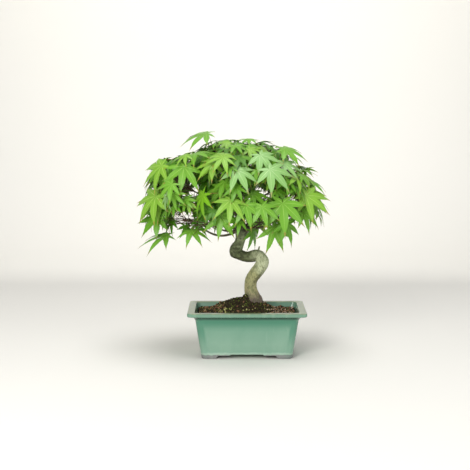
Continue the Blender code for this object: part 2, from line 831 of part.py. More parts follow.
def grow_twigs(mass, solids):
    """The stem of a mass, and a twig from it to each group of leaves."""
    begin, end = grow_stem(mass)
    side = mass.course.orthogonal().normalized()
    across = mass.course.cross(side)

    def around(site):
        offset = site.joint - begin
        return math.atan2(offset.dot(across), offset.dot(side))

    ring = sorted(mass.sites, key=around)
    groups = max(1, round(len(ring) / LEAVES_PER_TWIG))
    for group in range(groups):
        members = ring[group * len(ring) // groups : (group + 1) * len(ring) // groups]
        if not members:
            continue
        centre = sum((site.joint for site in members), Vector()) / len(members)
        root = begin.lerp(end, 0.25 + 0.65 * ((group * 3) % groups) / groups)
        run = centre - root
        tip = root + run * max(0.45, 1 - TWIG_PULL_BACK / run.length)
        points = twig_points(root, tip, mass.course)
        radii = twig_radii(len(points), TWIG_RADIUS)
        room = tube([root.lerp(tip, 0.2), *points[1:]], with_room(radii, LEAF_CLEARANCE), 3)
        if not solids.touches(room, mass.branch.name):
            mass.twigs.append((points, radii, 3))
    for points, radii, sides in mass.twigs:
        solids.add(tube(points, with_room(radii, LEAF_CLEARANCE), sides), mass.branch.name)


def stalk_root(mass, site, turn):
    """Where a leaf's stalk leaves its twig, and how far off that is."""
    options = []
    for index, (points, _, _) in enumerate(mass.twigs):
        for piece in range(1 if index == 0 else 0, len(points) - 1):
            for share in (0.35, 0.6, 0.85):
                spot = points[piece].lerp(points[piece + 1], share)
                distance = (spot - site.joint).length
                if distance > STALK_LEAST:
                    options.append((distance, spot))
    options.sort(key=lambda option: option[0])
    return options[turn % min(5, len(options))] if options else None


def shifted_leaf(site, root, loose, draw):
    """A leaf at a site, shifted and turned by up to a share of what it may, on a stalk that fits."""
    shift = random_vector(draw) * LOOSE_SHIFT * loose
    look = (site.facing + random_vector(draw) * LOOSE_LOOK * loose).normalized()
    lobe = along_blade(site.heading, look)
    lobe.rotate(Matrix.Rotation(draw.uniform(-LOOSE_TURN, LOOSE_TURN) * loose, 3, look))
    joint = site.joint + shift
    stalk = (joint - root).normalized()
    if stalk.dot(look) < STALK_SLANT:
        look = (look + stalk * 0.5).normalized()
        lobe = along_blade(lobe, look)
    if stalk.dot(look) < STALK_SLANT:
        return None
    return Leaf(joint, lobe, look, site.size * (1 - LOOSE_SHRINK * loose), root)


def leaf_fits(leaf, mass, feature, solids):
    """Whether a leaf is clear of everything but its own twig, and leaves the crown's openings open."""
    blade = leaf.shape(LEAF_CLEARANCE, with_stalk=False)
    if not feature and covers_opening(blade[0]):
        return False
    if solids.touches(blade) or solids.touches(leaf.stalk_tube(0.0), mass.branch.name):
        return False
    return not solids.touches(leaf.stalk_tube(STALK_SHARED))


def fit_leaf(mass, site, solids, draw):
    """Turn and shift a leaf until it fits, or give it up."""
    reach = STALK_REACH * (1.6 if site.feature else 1.0)
    for attempt in range(TRIES):
        loose = attempt / TRIES * (0.5 if site.feature else 1.0)
        found = stalk_root(mass, site, attempt // 2)
        if not found or found[0] > reach:
            return None
        leaf = shifted_leaf(site, found[1], loose, draw)
        if leaf and leaf_fits(leaf, mass, site.feature, solids):
            return leaf
    return None


def keep_leaf(mass, leaf, solids):
    """Add a leaf that fits."""
    mass.leaves.append(leaf)
    solids.add(leaf.shape(LEAF_CLEARANCE, with_stalk=False), mass.branch.name)
    solids.add(leaf.stalk_tube(0.0), mass.branch.name)


def grow_crown(tips, solids):
    """All the foliage, each leaf in the space of the nearest mass."""
    draw = random.Random(GROWTH_SEED)
    masses = [Mass(branch, *tips[branch.name], [], [], []) for branch in BRANCHES]
    sites = leaf_sites(draw)
    for site in sites:
        nearest_mass(site.joint, masses).sites.append(site)
    for mass in masses:
        grow_twigs(mass, solids)
    owners = {id(site): mass for mass in masses for site in mass.sites}
    grown = 0
    for site in sites:
        if grown >= LEAF_LIMIT:
            break
        mass = owners[id(site)]
        leaf = fit_leaf(mass, site, solids, draw)
        if leaf:
            keep_leaf(mass, leaf, solids)
            grown += 1
    for mass in masses:
        mass.leaves = [
            leaf for leaf in mass.leaves if not hides_trunk(leaf.shape(with_stalk=False)[0])
        ]
    return masses


def build_foliage(mass, material):
    """Join the stem, twigs and leaves of one mass into one solid."""
    group = bpy.data.collections.new("pieces")
    bpy.context.scene.collection.children.link(group)
    stem_points, stem_radii, stem_sides = mass.twigs[0]
    foliage = add_object(
        f"foliage_{mass.branch.name}", mesh_from(*tube(stem_points, stem_radii, stem_sides)), material
    )
    shapes = [tube(points, radii, sides) for points, radii, sides in mass.twigs[1:]]
    shapes += [leaf.shape() for leaf in mass.leaves]
    for shape in shapes:
        piece = bpy.data.objects.new("piece", mesh_from(*shape))
        group.objects.link(piece)
    apply_boolean(foliage, "UNION", collection=group)
    for piece in list(group.objects):
        bpy.data.objects.remove(piece, do_unlink=True)
    bpy.data.collections.remove(group)
    drop_scraps(foliage.data)
    foliage.data.materials.clear()
    foliage.data.materials.append(material)
    return foliage


def drop_scraps(mesh):
    """Keep the largest body of a joined mesh."""
    shape = bmesh.new()
    shape.from_mesh(mesh)
    left = set(shape.verts)
    bodies = []
    while left:
        seed = left.pop()
        body = {seed}
        front = [seed]
        while front:
            vert = front.pop()
            for edge in vert.link_edges:
                other = edge.other_vert(vert)
                if other in left:
                    left.discard(other)
                    body.add(other)
                    front.append(other)
        bodies.append(body)
    bodies.sort(key=len, reverse=True)
    scraps = [vert for body in bodies[1:] for vert in body]
    if scraps:
        bmesh.ops.delete(shape, geom=scraps, context="VERTS")
    shape.to_mesh(mesh)
    shape.free()


def centre_on_origin(things):
    """Move everything so that the origin lies under the middle of the whole object."""
    corners = [vertex.co for thing in things for vertex in thing.data.vertices]
    middle_x = (min(c.x for c in corners) + max(c.x for c in corners)) / 2
    middle_y = (min(c.y for c in corners) + max(c.y for c in corners)) / 2
    lowest = min(c.z for c in corners)
    for thing in things:
        thing.data.transform(Matrix.Translation((-middle_x, -middle_y, -lowest)))


def main():
    """Build the pot, the soil, the trunk, the boughs and their foliage."""
    clear_scene()
    glaze = make_material("pot_glaze", COLOURS["glaze"], 0.25)
    earth = make_material("soil_earth", COLOURS["soil"], 0.95)
    bark = make_material("trunk_bark", COLOURS["bark"], 0.85)
    green = make_material("foliage_green", COLOURS["leaf"], 0.5)

    centres, radii = trunk_path()
    things = [build_pot(glaze), build_soil(earth, centres[TRUNK_CUT])]
    things.append(build_trunk(bark, centres, radii))

    solids = Solids()
    solids.add(tube(centres, with_room(radii, LIMB_CLEARANCE), TRUNK_SIDES))
    tips = {}
    for branch in BRANCHES:
        if branch.name == CROWN_LEADER:
            tips[branch.name] = (centres[-1], (centres[-1] - centres[-3]).normalized(), radii[-1])
            continue
        bough, points, bough_radii = build_bough(branch, bark, centres, radii)
        things.append(bough)
        solids.add(tube(points, with_room(bough_radii, LIMB_CLEARANCE), BOUGH_SIDES))
        tips[branch.name] = (points[-1], (points[-1] - points[-2]).normalized(), bough_radii[-1])

    masses = grow_crown(tips, solids)
    for mass in masses:
        things.append(build_foliage(mass, green))
    centre_on_origin(things)
    print("leaves in all", sum(len(mass.leaves) for mass in masses))


main()
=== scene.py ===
"""A maple bonsai in its glazed pot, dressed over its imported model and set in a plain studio.

Everything is in metres with +Z up and the front of the tree towards -Y. The tree is grown with the
middle of the pot's underside at the origin, and each finished mesh is then moved to where the
packed pot stands.
"""

import json
import logging
from dataclasses import dataclass, field
from enum import Enum
from functools import partial
from math import atan2, cos, exp, hypot, pi, radians, sin, sqrt
from random import Random
from typing import Any, Callable, Iterable, Sequence

import bmesh
import bpy
from bpy.types import Collection, Material, Mesh, Node, NodeSocket, NodeTree, Object
from mathutils import Matrix, Vector, noise
from mathutils.bvhtree import BVHTree

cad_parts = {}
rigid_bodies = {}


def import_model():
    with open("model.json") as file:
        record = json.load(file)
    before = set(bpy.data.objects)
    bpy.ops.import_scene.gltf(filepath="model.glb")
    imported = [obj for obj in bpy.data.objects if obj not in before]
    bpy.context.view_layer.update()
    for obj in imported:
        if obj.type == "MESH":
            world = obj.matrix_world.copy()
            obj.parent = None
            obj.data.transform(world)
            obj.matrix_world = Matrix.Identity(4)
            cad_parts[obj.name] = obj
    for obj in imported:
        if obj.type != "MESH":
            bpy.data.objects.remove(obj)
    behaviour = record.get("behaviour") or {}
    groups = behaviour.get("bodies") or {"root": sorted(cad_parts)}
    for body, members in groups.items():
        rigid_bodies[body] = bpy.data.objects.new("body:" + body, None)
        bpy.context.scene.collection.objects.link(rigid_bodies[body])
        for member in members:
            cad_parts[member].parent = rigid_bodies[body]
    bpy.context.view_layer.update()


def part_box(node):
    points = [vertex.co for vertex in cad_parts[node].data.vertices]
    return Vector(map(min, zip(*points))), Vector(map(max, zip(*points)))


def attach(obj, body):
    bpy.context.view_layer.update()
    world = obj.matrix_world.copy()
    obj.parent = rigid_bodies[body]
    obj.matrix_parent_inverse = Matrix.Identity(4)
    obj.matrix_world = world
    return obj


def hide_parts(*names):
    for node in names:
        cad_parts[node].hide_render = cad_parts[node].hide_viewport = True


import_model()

LOG = logging.getLogger("bonsai")
Triple = tuple[float, float, float]
Colour = Triple
Points = list[Vector]
Shape = tuple[Points, list[tuple[int, ...]]]
Shell = tuple[int, float, float, float]
Swell = Callable[[int, float, Vector], float]
UP = Vector((0.0, 0.0, 1.0))

# Where the photograph was taken from, counted from the middle of the pot's underside
VIEW_POINT = Vector((-0.0184, -1.825, 0.379))


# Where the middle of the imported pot's underside stands
POT_LOW, POT_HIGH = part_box("pot")
POT_MIDDLE = Vector(((POT_LOW.x + POT_HIGH.x) / 2, (POT_LOW.y + POT_HIGH.y) / 2, POT_LOW.z))


def srgb(*values: int) -> Colour:
    """A linear colour from the red, green and blue, 0 to 255, that a screen shows."""
    parts = [value / 255 for value in values]
    return tuple(part / 12.92 if part <= 0.04045 else ((part + 0.055) / 1.055) ** 2.4 for part in parts)


def smooth_step(low: float, high: float, value: float) -> float:
    """A soft step from 0 at low to 1 at high, read at a value."""
    share = min(1.0, max(0.0, (value - low) / (high - low)))
    return share * share * (3 - 2 * share)


# Node trees


class Sheet:
    """A short way to write a node tree."""

    def __init__(self, tree: NodeTree) -> None:
        """Keep the tree that the nodes go to."""
        self.tree = tree

    def add(self, kind: str, inputs: dict[Any, Any] | None = None, **settings: Any) -> Node:
        """Add a node.

        Args:
            kind: Its type.
            inputs: Values or sockets of its inputs, by name or place.
            **settings: Its properties.

        Returns:
            The node.
        """
        node = self.tree.nodes.new(kind)
        for name, value in settings.items():
            setattr(node, name, value)
        for key, value in (inputs or {}).items():
            self.feed(node.inputs[key], value)
        return node

    def feed(self, socket: NodeSocket, value: Any) -> None:
        """Set a socket, or link it to another.

        Args:
            socket: The socket.
            value: Its value, or the socket that feeds it.
        """
        if isinstance(value, NodeSocket):
            self.tree.links.new(value, socket)
        else:
            socket.default_value = value


class Surface(Sheet):
    """A Principled material with helpers for the patterns that the finishes share."""

    def __init__(self, name: str, colour: Colour, roughness: float, **sockets: float) -> None:
        """Start a material.

        Args:
            name: The material's name.
            colour: Its plain colour.
            roughness: Its plain roughness.
            **sockets: Other inputs of the shader, with _ for a space.
        """
        self.material = bpy.data.materials.new(name)
        self.material.use_nodes = True
        super().__init__(self.material.node_tree)
        self.shader = self.tree.nodes["Principled BSDF"]
        self.shader.inputs["Base Color"].default_value = (*colour, 1.0)
        self.shader.inputs["Roughness"].default_value = roughness
        for socket, value in sockets.items():
            self.shader.inputs[socket.replace("_", " ")].default_value = value
        self.place = self.add("ShaderNodeTexCoord").outputs["Object"]

    def noise(
        self, scale: float, detail: float = 3.0, stretch: Triple = (1, 1, 1), warp: float = 0.0
    ) -> Any:
        """A noise pattern over the piece.

        Args:
            scale: Waves in a metre.
            detail: Finer layers.
            stretch: Scale of each axis.
            warp: How much the pattern is distorted.

        Returns:
            Its height.
        """
        mapping = self.add("ShaderNodeMapping", {"Vector": self.place, "Scale": stretch})
        pattern = self.add(
            "ShaderNodeTexNoise",
            {"Vector": mapping.outputs[0], "Scale": scale, "Detail": detail, "Distortion": warp},
        )
        return pattern.outputs["Fac"]

    def cells(self, scale: float) -> Any:
        """Distance from the middles of small cells."""
        pattern = self.add("ShaderNodeTexVoronoi", {"Vector": self.place, "Scale": scale})
        return pattern.outputs["Distance"]

    def height(self) -> Any:
        """Height above the ground."""
        return self.add("ShaderNodeSeparateXYZ", {0: self.place}).outputs["Z"]

    def stored(self, name: str) -> Any:
        """A value that the piece's points hold."""
        return self.add("ShaderNodeAttribute", attribute_name=name).outputs["Fac"]

    def ramp(self, value: Any, stops: Sequence[tuple[float, Any]]) -> Any:
        """Colours or greys along a value.

        Args:
            value: The value.
            stops: Place and colour or grey of each stop.

        Returns:
            The colour socket.
        """
        node = self.add("ShaderNodeValToRGB", {"Fac": value})
        band = node.color_ramp
        while len(band.elements) < len(stops):
            band.elements.new(0.5)
        for element, (spot, shade) in zip(band.elements, stops):
            element.position = spot
            element.color = (*shade, 1.0) if isinstance(shade, tuple) else (shade, shade, shade, 1.0)
        return node.outputs["Color"]

    def span(self, value: Any, low: float, high: float, start: float = 0.0, end: float = 1.0) -> Any:
        """A value moved from one range to another, and kept in it."""
        node = self.add(
            "ShaderNodeMapRange",
            {"Value": value, "From Min": low, "From Max": high, "To Min": start, "To Max": end},
        )
        return node.outputs["Result"]

    def sums(self, operation: str, first: Any, second: Any) -> Any:
        """A sum, product or other operation on two values."""
        return self.add("ShaderNodeMath", {0: first, 1: second}, operation=operation).outputs[0]

    def mix(self, share: Any, first: Any, second: Any, blend: str = "MIX") -> Any:
        """One colour laid over another.

        Args:
            share: How much of the second shows.
            first: The lower colour.
            second: The upper colour.
            blend: How they are mixed.

        Returns:
            The colour socket.
        """
        node = self.add("ShaderNodeMix", data_type="RGBA", blend_type=blend)
        self.feed(node.inputs[0], share)
        for socket, value in ((node.inputs[6], first), (node.inputs[7], second)):
            self.feed(socket, (*value, 1.0) if isinstance(value, tuple) else value)
        return node.outputs[2]

    def bump(self, height: Any, strength: float, distance: float, under: Any = None) -> Any:
        """Relief that only the light sees.

        Args:
            height: Its height.
            strength: How much of it shows.
            distance: Its depth.
            under: Relief that it lies on.

        Returns:
            The new normal.
        """
        inputs = {"Height": height, "Strength": strength, "Distance": distance}
        if under is not None:
            inputs["Normal"] = under
        return self.add("ShaderNodeBump", inputs).outputs["Normal"]

    def wear(self, **sockets: Any) -> Material:
        """Link patterns to the shader, and give the material.

        Args:
            **sockets: Inputs of the shader, with _ for a space.

        Returns:
            The finished material.
        """
        for name, value in sockets.items():
            self.feed(self.shader.inputs[name.replace("_", " ")], value)
        return self.material


class GrowTree(Sheet):
    """Geometry Nodes that set shapes out of a collection on points."""

    def __init__(self, name: str, **kinds: str) -> None:
        """Start a tree with its named inputs.

        Args:
            name: The tree's name.
            **kinds: Kinds of the further inputs, by their names.
        """
        super().__init__(bpy.data.node_groups.new(name, "GeometryNodeTree"))
        sockets = self.tree.interface
        sockets.new_socket("Geometry", in_out="OUTPUT", socket_type="NodeSocketGeometry")
        for label, kind in {"Geometry": "Geometry", "Shapes": "Collection", **kinds}.items():
            sockets.new_socket(label, in_out="INPUT", socket_type=f"NodeSocket{kind}")
        self.given = self.add("NodeGroupInput").outputs

    def stored(self, name: str, kind: str) -> Any:
        """A named attribute of the points or faces."""
        node = self.add("GeometryNodeInputNamedAttribute", {"Name": name}, data_type=kind)
        return node.outputs["Attribute"]

    def set_shapes(self, points: Any, pick: Any, turn: Any, size: Any) -> Any:
        """Set a shape on each point.

        Args:
            points: The points.
            pick: Which shape each gets.
            turn: How it is turned round the three axes.
            size: How large it is.

        Returns:
            The shapes, as plain geometry.
        """
        shapes = self.add("GeometryNodeCollectionInfo", {0: self.given["Shapes"], 1: True, 2: True})
        rotation = self.add("FunctionNodeEulerToRotation", {0: turn})
        put = self.add(
            "GeometryNodeInstanceOnPoints",
            {
                "Points": points, "Instance": shapes.outputs[0], "Pick Instance": True,
                "Instance Index": pick, "Rotation": rotation.outputs[0], "Scale": size,
            },
        )
        return self.add("GeometryNodeRealizeInstances", {0: put.outputs[0]}).outputs[0]

    def run(self, name: str, mesh: Mesh, settings: dict[str, Any]) -> Object:
        """Run the tree on a mesh, and keep the result as a plain mesh.

        Args:
            name: Name of the object.
            mesh: What goes in.
            settings: Values of the tree's inputs, by name.

        Returns:
            The object with the result.
        """
        made = add_object(name, mesh)
        modifier = made.modifiers.new("grow", "NODES")
        modifier.node_group = self.tree
        for item in self.tree.interface.items_tree:
            if item.in_out == "INPUT" and item.name in settings:
                modifier[item.identifier] = settings[item.name]
        apply_modifier(made)
        return made


# Finishes


@dataclass(frozen=True)
class GlazeFinish:
    """Celadon glaze: deeper where it pools, pale on edges where it is thinner, and bare clay at the feet,
    with painted shade in the cove, a painted shadow under the rim, and painted light on the bottom edge and
    on top of the rim.
    """

    body: Colour = srgb(114, 156, 134)
    low: Colour = srgb(132, 168, 147)
    # Deep glaze where it pools, also painted shade in the cove under the rim
    pooled_and_shaded: Colour = srgb(64, 128, 102)
    shadow: Colour = srgb(34, 66, 52)
    # Pale glaze where it runs thinner on edges and in streaks, and also a painted highlight band along the
    # bottom edge
    pale_glaze_and_highlight: Colour = srgb(160, 188, 168)
    rim: Colour = srgb(108, 146, 124)
    # Paler glaze on top of the rim, partly painted light falling from above
    cream_and_top_light: Colour = srgb(142, 155, 122)
    clay: Colour = srgb(130, 130, 129)
    roughness: float = 0.2
    rim_top: tuple[float, float] = (0.0728, 0.0735)
    rim_shine: tuple[float, float] = (0.5, 0.14)
    rim_coat: tuple[float, float] = (0.35, 0.06)

    def material(self) -> Material:
        """The glaze, with its bands at the heights of the pot, and duller on top of the rim.

        Returns:
            The material.
        """
        made = Surface(
            "celadon_glaze", self.body, self.roughness, Coat_Weight=self.rim_coat[0], Coat_Roughness=0.08
        )
        height = made.height()
        clouds = made.noise(26, 4, warp=0.6)
        streaks = made.noise(150, 3, (1, 1, 0.12))
        wavy = made.sums("ADD", height, made.span(streaks, 0.3, 0.7, -0.0007, 0.0007))
        # Bands by height: bare clay at the feet, a painted highlight band along the bottom edge, the glaze,
        # the rim, and painted light on the rim's top
        bands = made.ramp(
            made.span(wavy, 0.0, 0.075),
            (
                (0.078, self.clay), (0.094, self.pale_glaze_and_highlight), (0.115, self.pale_glaze_and_highlight), (0.14, self.low),
                (0.3, self.low), (0.6, self.body), (0.9, self.rim), (0.965, self.rim),
                (0.983, self.cream_and_top_light),
            ),
        )
        clouded = made.mix(made.span(clouds, 0.45, 0.75, 0.0, 0.18), bands, self.pooled_and_shaded)
        paled = made.mix(made.span(streaks, 0.58, 0.8, 0.0, 0.22), clouded, self.pale_glaze_and_highlight)
        # Pooled glaze at the corners, and pooled glaze with painted shade in the cove
        pooled_and_shaded = made.mix(made.stored("pool_and_cove_shade"), paled, self.pooled_and_shaded)
        # A painted shadow line just under the rim
        lined = made.mix(made.stored("line"), pooled_and_shaded, self.shadow)
        bare = made.span(wavy, 0.0035, 0.0045)
        lumps = made.bump(clouds, 0.2, 0.001)
        return made.wear(
            Base_Color=lined,
            Roughness=made.span(bare, 0.0, 1.0, 0.8, self.roughness),
            Specular_IOR_Level=made.span(height, *self.rim_top, *self.rim_shine),
            Coat_Weight=made.span(height, *self.rim_top, *self.rim_coat),
            Normal=made.bump(made.noise(900, 2), 0.06, 0.0002, lumps),
        )


@dataclass(frozen=True)
class BarkFinish:
    """Smooth maple bark with fine fissures, its tints laid along the limb, with painted shade on the
    undersides and in the dark tints under the crown.
    """

    name: str = "olive_bark"
    # The trunk's dark tints at the loop and at the top are its bark with painted shade of the crown
    tints: tuple[tuple[float, Colour], ...] = (
        (0.02, srgb(112, 98, 90)), (0.06, srgb(160, 154, 114)), (0.17, srgb(158, 158, 112)),
        (0.25, srgb(186, 192, 156)), (0.33, srgb(184, 190, 154)), (0.41, srgb(108, 116, 80)),
        (0.49, srgb(82, 90, 60)), (0.6, srgb(150, 160, 122)), (0.69, srgb(54, 52, 36)),
    )
    dark: Colour = srgb(46, 44, 30)
    patch: Colour = srgb(92, 102, 66)
    lichen: Colour = srgb(196, 204, 176)

    def material(self) -> Material:
        """The bark, from its foot to its tip.

        Returns:
            The material.
        """
        made = Surface(self.name, self.tints[0][1], 0.8, Specular_IOR_Level=0.3)
        patches = made.noise(70, 5, (1, 1, 0.6), 0.8)
        shifted = made.sums("ADD", made.stored("run"), made.span(patches, 0.3, 0.7, -0.03, 0.03))
        tint = made.ramp(shifted, self.tints)
        fissures = made.noise(760, 5, (1, 1, 0.34), 0.5)
        blotches = made.noise(240, 6, (1, 1, 0.7), 0.4)
        mottled = made.mix(made.span(blotches, 0.48, 0.62, 0.0, 0.55), tint, self.patch)
        lined = made.mix(made.span(fissures, 0.51, 0.64, 0.0, 0.4), mottled, self.dark)
        # Dark patches from the loop upwards
        loop_dark_patches = made.sums(
            "MULTIPLY", made.span(made.noise(110, 5, (1, 1, 1.4), 0.6), 0.5, 0.6, 0.0, 0.62),
            made.span(made.stored("run"), 0.36, 0.42),
        )
        dulled = made.mix(loop_dark_patches, lined, self.dark)
        # Painted shade on the undersides of the bark
        shaded = made.mix(made.sums("MULTIPLY", made.stored("under"), 0.85), dulled, self.dark)
        flecks = made.span(made.cells(420), 0.0, 0.16, 0.75, 0.0)
        spotted = made.mix(
            made.sums("MULTIPLY", flecks, made.span(patches, 0.42, 0.66)), shaded, self.lichen
        )
        relief = made.bump(fissures, 0.55, 0.0007)
        return made.wear(
            Base_Color=spotted,
            Roughness=made.span(fissures, 0.3, 0.7, 0.7, 0.92),
            Normal=made.bump(made.noise(1500, 3), 0.3, 0.0002, relief),
        )


@dataclass(frozen=True)
class EarthFinish:
    """Dark potting soil, or one kind of its grains."""

    name: str
    light: Colour
    dark: Colour
    roughness: float = 0.95

    def material(self) -> Material:
        """The soil, mottled from grain to grain.

        Returns:
            The material.
        """
        made = Surface(self.name, self.dark, self.roughness, Specular_IOR_Level=0.2)
        mottle = made.noise(380, 3)
        crumbs = made.noise(1100, 4)
        colour = made.mix(made.span(mottle, 0.35, 0.65), self.dark, self.light)
        return made.wear(Base_Color=colour, Normal=made.bump(crumbs, 0.7, 0.0008))


@dataclass(frozen=True)
class LeafFinish:
    """One plain colour for part of the leaves, with the satin relief of a leaf."""

    name: str
    colour: Colour
    roughness: float = 0.4

    def material(self) -> Material:
        """The surface, its colour plain and its relief fine.

        Returns:
            The material.
        """
        made = Surface(self.name, self.colour, self.roughness, Specular_IOR_Level=0.42, Sheen_Weight=0.03)
        puckers = made.noise(700, 3)
        return made.wear(
            Roughness=made.span(puckers, 0.3, 0.7, self.roughness - 0.06, self.roughness + 0.12),
            Normal=made.bump(puckers, 0.25, 0.0004),
        )


class Tone(Enum):
    """The greens that the leaves come in: blade, vein and tip of each. The shaded green is painted shade, and
    the bright and pale greens are partly painted light on leaves that catch it.
    """

    FRESH = ("fresh", srgb(104, 160, 38), srgb(148, 192, 84), srgb(134, 130, 46))
    BRIGHT = ("bright", srgb(124, 172, 50), srgb(168, 204, 98), srgb(148, 140, 54))
    DEEP = ("deep", srgb(94, 152, 28), srgb(132, 180, 66), srgb(112, 116, 38))
    SHADED = ("shaded", srgb(68, 122, 10), srgb(98, 146, 40), srgb(82, 90, 20))
    LIME = ("lime", srgb(108, 165, 12), srgb(148, 191, 56), srgb(160, 144, 34))
    PALE = ("pale", srgb(130, 176, 98), srgb(178, 208, 148), srgb(148, 154, 84))

    def materials(self) -> list[Material]:
        """The materials of blade, veins and tips."""
        word, blade, vein, tip = self.value
        return [
            LeafFinish(f"leaf_{word}", blade).material(),
            LeafFinish(f"vein_{word}", vein, 0.5).material(),
            LeafFinish(f"tip_{word}", tip, 0.5).material(),
        ]


# Meshes


@dataclass
class Heap:
    """Points and faces of closed shapes, gathered for one joined piece."""

    points: Points = field(default_factory=list)
    faces: list[tuple[int, ...]] = field(default_factory=list)

    def add(self, shape: Shape) -> None:
        """Add one closed shape.

        Args:
            shape: Its points and faces.
        """
        first = len(self.points)
        self.points += shape[0]
        self.faces += [tuple(first + corner for corner in face) for face in shape[1]]

    def piece(self, name: str, *materials: Material) -> Object:
        """Put all that was added in the scene.

        Args:
            name: Its name.
            *materials: Its materials.

        Returns:
            The object.
        """
        mesh = bpy.data.meshes.new(name)
        mesh.from_pydata(self.points, [], self.faces)
        return add_object(name, mesh, *materials)


def add_object(name: str, mesh: Mesh, *materials: Material) -> Object:
    """Put a mesh in the scene.

    Args:
        name: The object's name.
        mesh: Its mesh.
        *materials: Its materials, if the mesh has none.

    Returns:
        The object.
    """
    for material in materials:
        mesh.materials.append(material)
    made = bpy.data.objects.new(name, mesh)
    bpy.context.scene.collection.objects.link(made)
    return made


def store(mesh: Mesh, name: str, values: Sequence[float], kind: str = "FLOAT") -> None:
    """Keep a named value on each point of a mesh."""
    key = "vector" if kind == "FLOAT_VECTOR" else "value"
    mesh.attributes.new(name, kind, "POINT").data.foreach_set(key, values)


def hand_over(made: Object, nodes: Iterable[str], sharp: float | None = 40) -> None:
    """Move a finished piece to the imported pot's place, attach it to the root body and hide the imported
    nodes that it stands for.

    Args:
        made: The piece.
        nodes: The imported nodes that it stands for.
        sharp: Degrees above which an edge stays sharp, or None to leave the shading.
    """
    made.data.transform(Matrix.Translation(POT_MIDDLE))
    if sharp is not None:
        made.data.shade_smooth()
        made.data.set_sharp_from_angle(angle=radians(sharp))
    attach(made, "root")
    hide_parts(*nodes)
    LOG.info("%s: %d faces", made.name, len(made.data.polygons))


def apply_modifier(made: Object) -> None:
    """Keep what an object's modifiers make as its mesh, and remove them.

    Args:
        made: The object.
    """
    graph = bpy.context.evaluated_depsgraph_get()
    mesh = bpy.data.meshes.new_from_object(made.evaluated_get(graph))
    made.modifiers.clear()
    made.data = mesh


def spline(pulls: Sequence[Vector], step: float) -> Points:
    """Points along a smooth curve that the given points pull.

    Args:
        pulls: The points, which may carry a radius too.
        step: Rough distance between the curve's points.

    Returns:
        The curve's points, from first to last pull.
    """
    padded = [pulls[0] * 2 - pulls[1], *pulls, pulls[-1] * 2 - pulls[-2]]
    samples = []
    for index in range(len(padded) - 3):
        a, b, c, d = padded[index : index + 4]
        pieces = max(2, round((c - b).length / step))
        for piece in range(pieces):
            t = piece / pieces
            near = a * (1 - t) ** 3 + b * (3 * t**3 - 6 * t**2 + 4)
            far = c * (-3 * t**3 + 3 * t**2 + 3 * t + 1) + d * t**3
            samples.append((near + far) / 6)
    samples.append(pulls[-1].copy())
    return samples


def bands(levels: Iterable[int], count: int) -> list[tuple[int, ...]]:
    """Faces that join some rings of points to the ring after each.

    Args:
        levels: The rings' numbers.
        count: Points in a ring.

    Returns:
        The faces.
    """
    faces = []
    for level in levels:
        low, high = level * count, (level + 1) * count
        faces += [(low + i, low + (i + 1) % count, high + (i + 1) % count, high + i) for i in range(count)]
    return faces


def loft(loops: Sequence[Sequence[Vector]]) -> Shape:
    """A closed shape through loops, with flat ends.

    Args:
        loops: The loops, each of as many points.

    Returns:
        The shape's points and faces.
    """
    count = len(loops[0])
    last = (len(loops) - 1) * count
    sides = bands(range(len(loops) - 1), count)
    faces = [tuple(reversed(range(count))), *sides, tuple(range(last, last + count))]
    return [point for loop in loops for point in loop], faces


def tube(
    centres: Sequence[Vector],
    radii: Sequence[float],
    sides: int,
    first_up: Vector | None = None,
    swell: Swell | None = None,
) -> Shape:
    """A closed tube along a path, its rings turned as little as possible.

    Args:
        centres: The points of the path.
        radii: The radius at each.
        sides: Corners of a ring.
        first_up: Way that the first ring faces, where it isn't along the path.
        swell: How much wider it is, by ring, angle and way that the spot faces.

    Returns:
        The tube's points and faces.
    """
    ahead = [*centres[1:], centres[-1]]
    behind = [centres[0], *centres[:-1]]
    tangents = [(after - before).normalized() for after, before in zip(ahead, behind)]
    if first_up:
        tangents[0] = first_up.normalized()
    side = tangents[0].orthogonal().normalized()
    loops = []
    for index, (centre, radius, tangent) in enumerate(zip(centres, radii, tangents)):
        side = (side - tangent * side.dot(tangent)).normalized()
        across = tangent.cross(side)
        loop = []
        for corner in range(sides):
            angle = 2 * pi * corner / sides
            spoke = side * cos(angle) + across * sin(angle)
            loop.append(centre + spoke * radius * (swell(index, angle, spoke) if swell else 1.0))
        loops.append(loop)
    return loft(loops)


def tapered(count: int, start: float, end: float) -> list[float]:
    """Radii that go evenly from one to another."""
    return [start + (end - start) * index / max(1, count - 1) for index in range(count)]


def random_vector(draw: Random) -> Vector:
    """A vector with each part between -1 and 1."""
    return Vector((draw.uniform(-1, 1), draw.uniform(-1, 1), draw.uniform(-1, 1)))


def along_blade(way: Vector, look: Vector) -> Vector:
    """The part of a direction that lies in the plane of a blade."""
    return (way - look * way.dot(look)).normalized()


# Pot


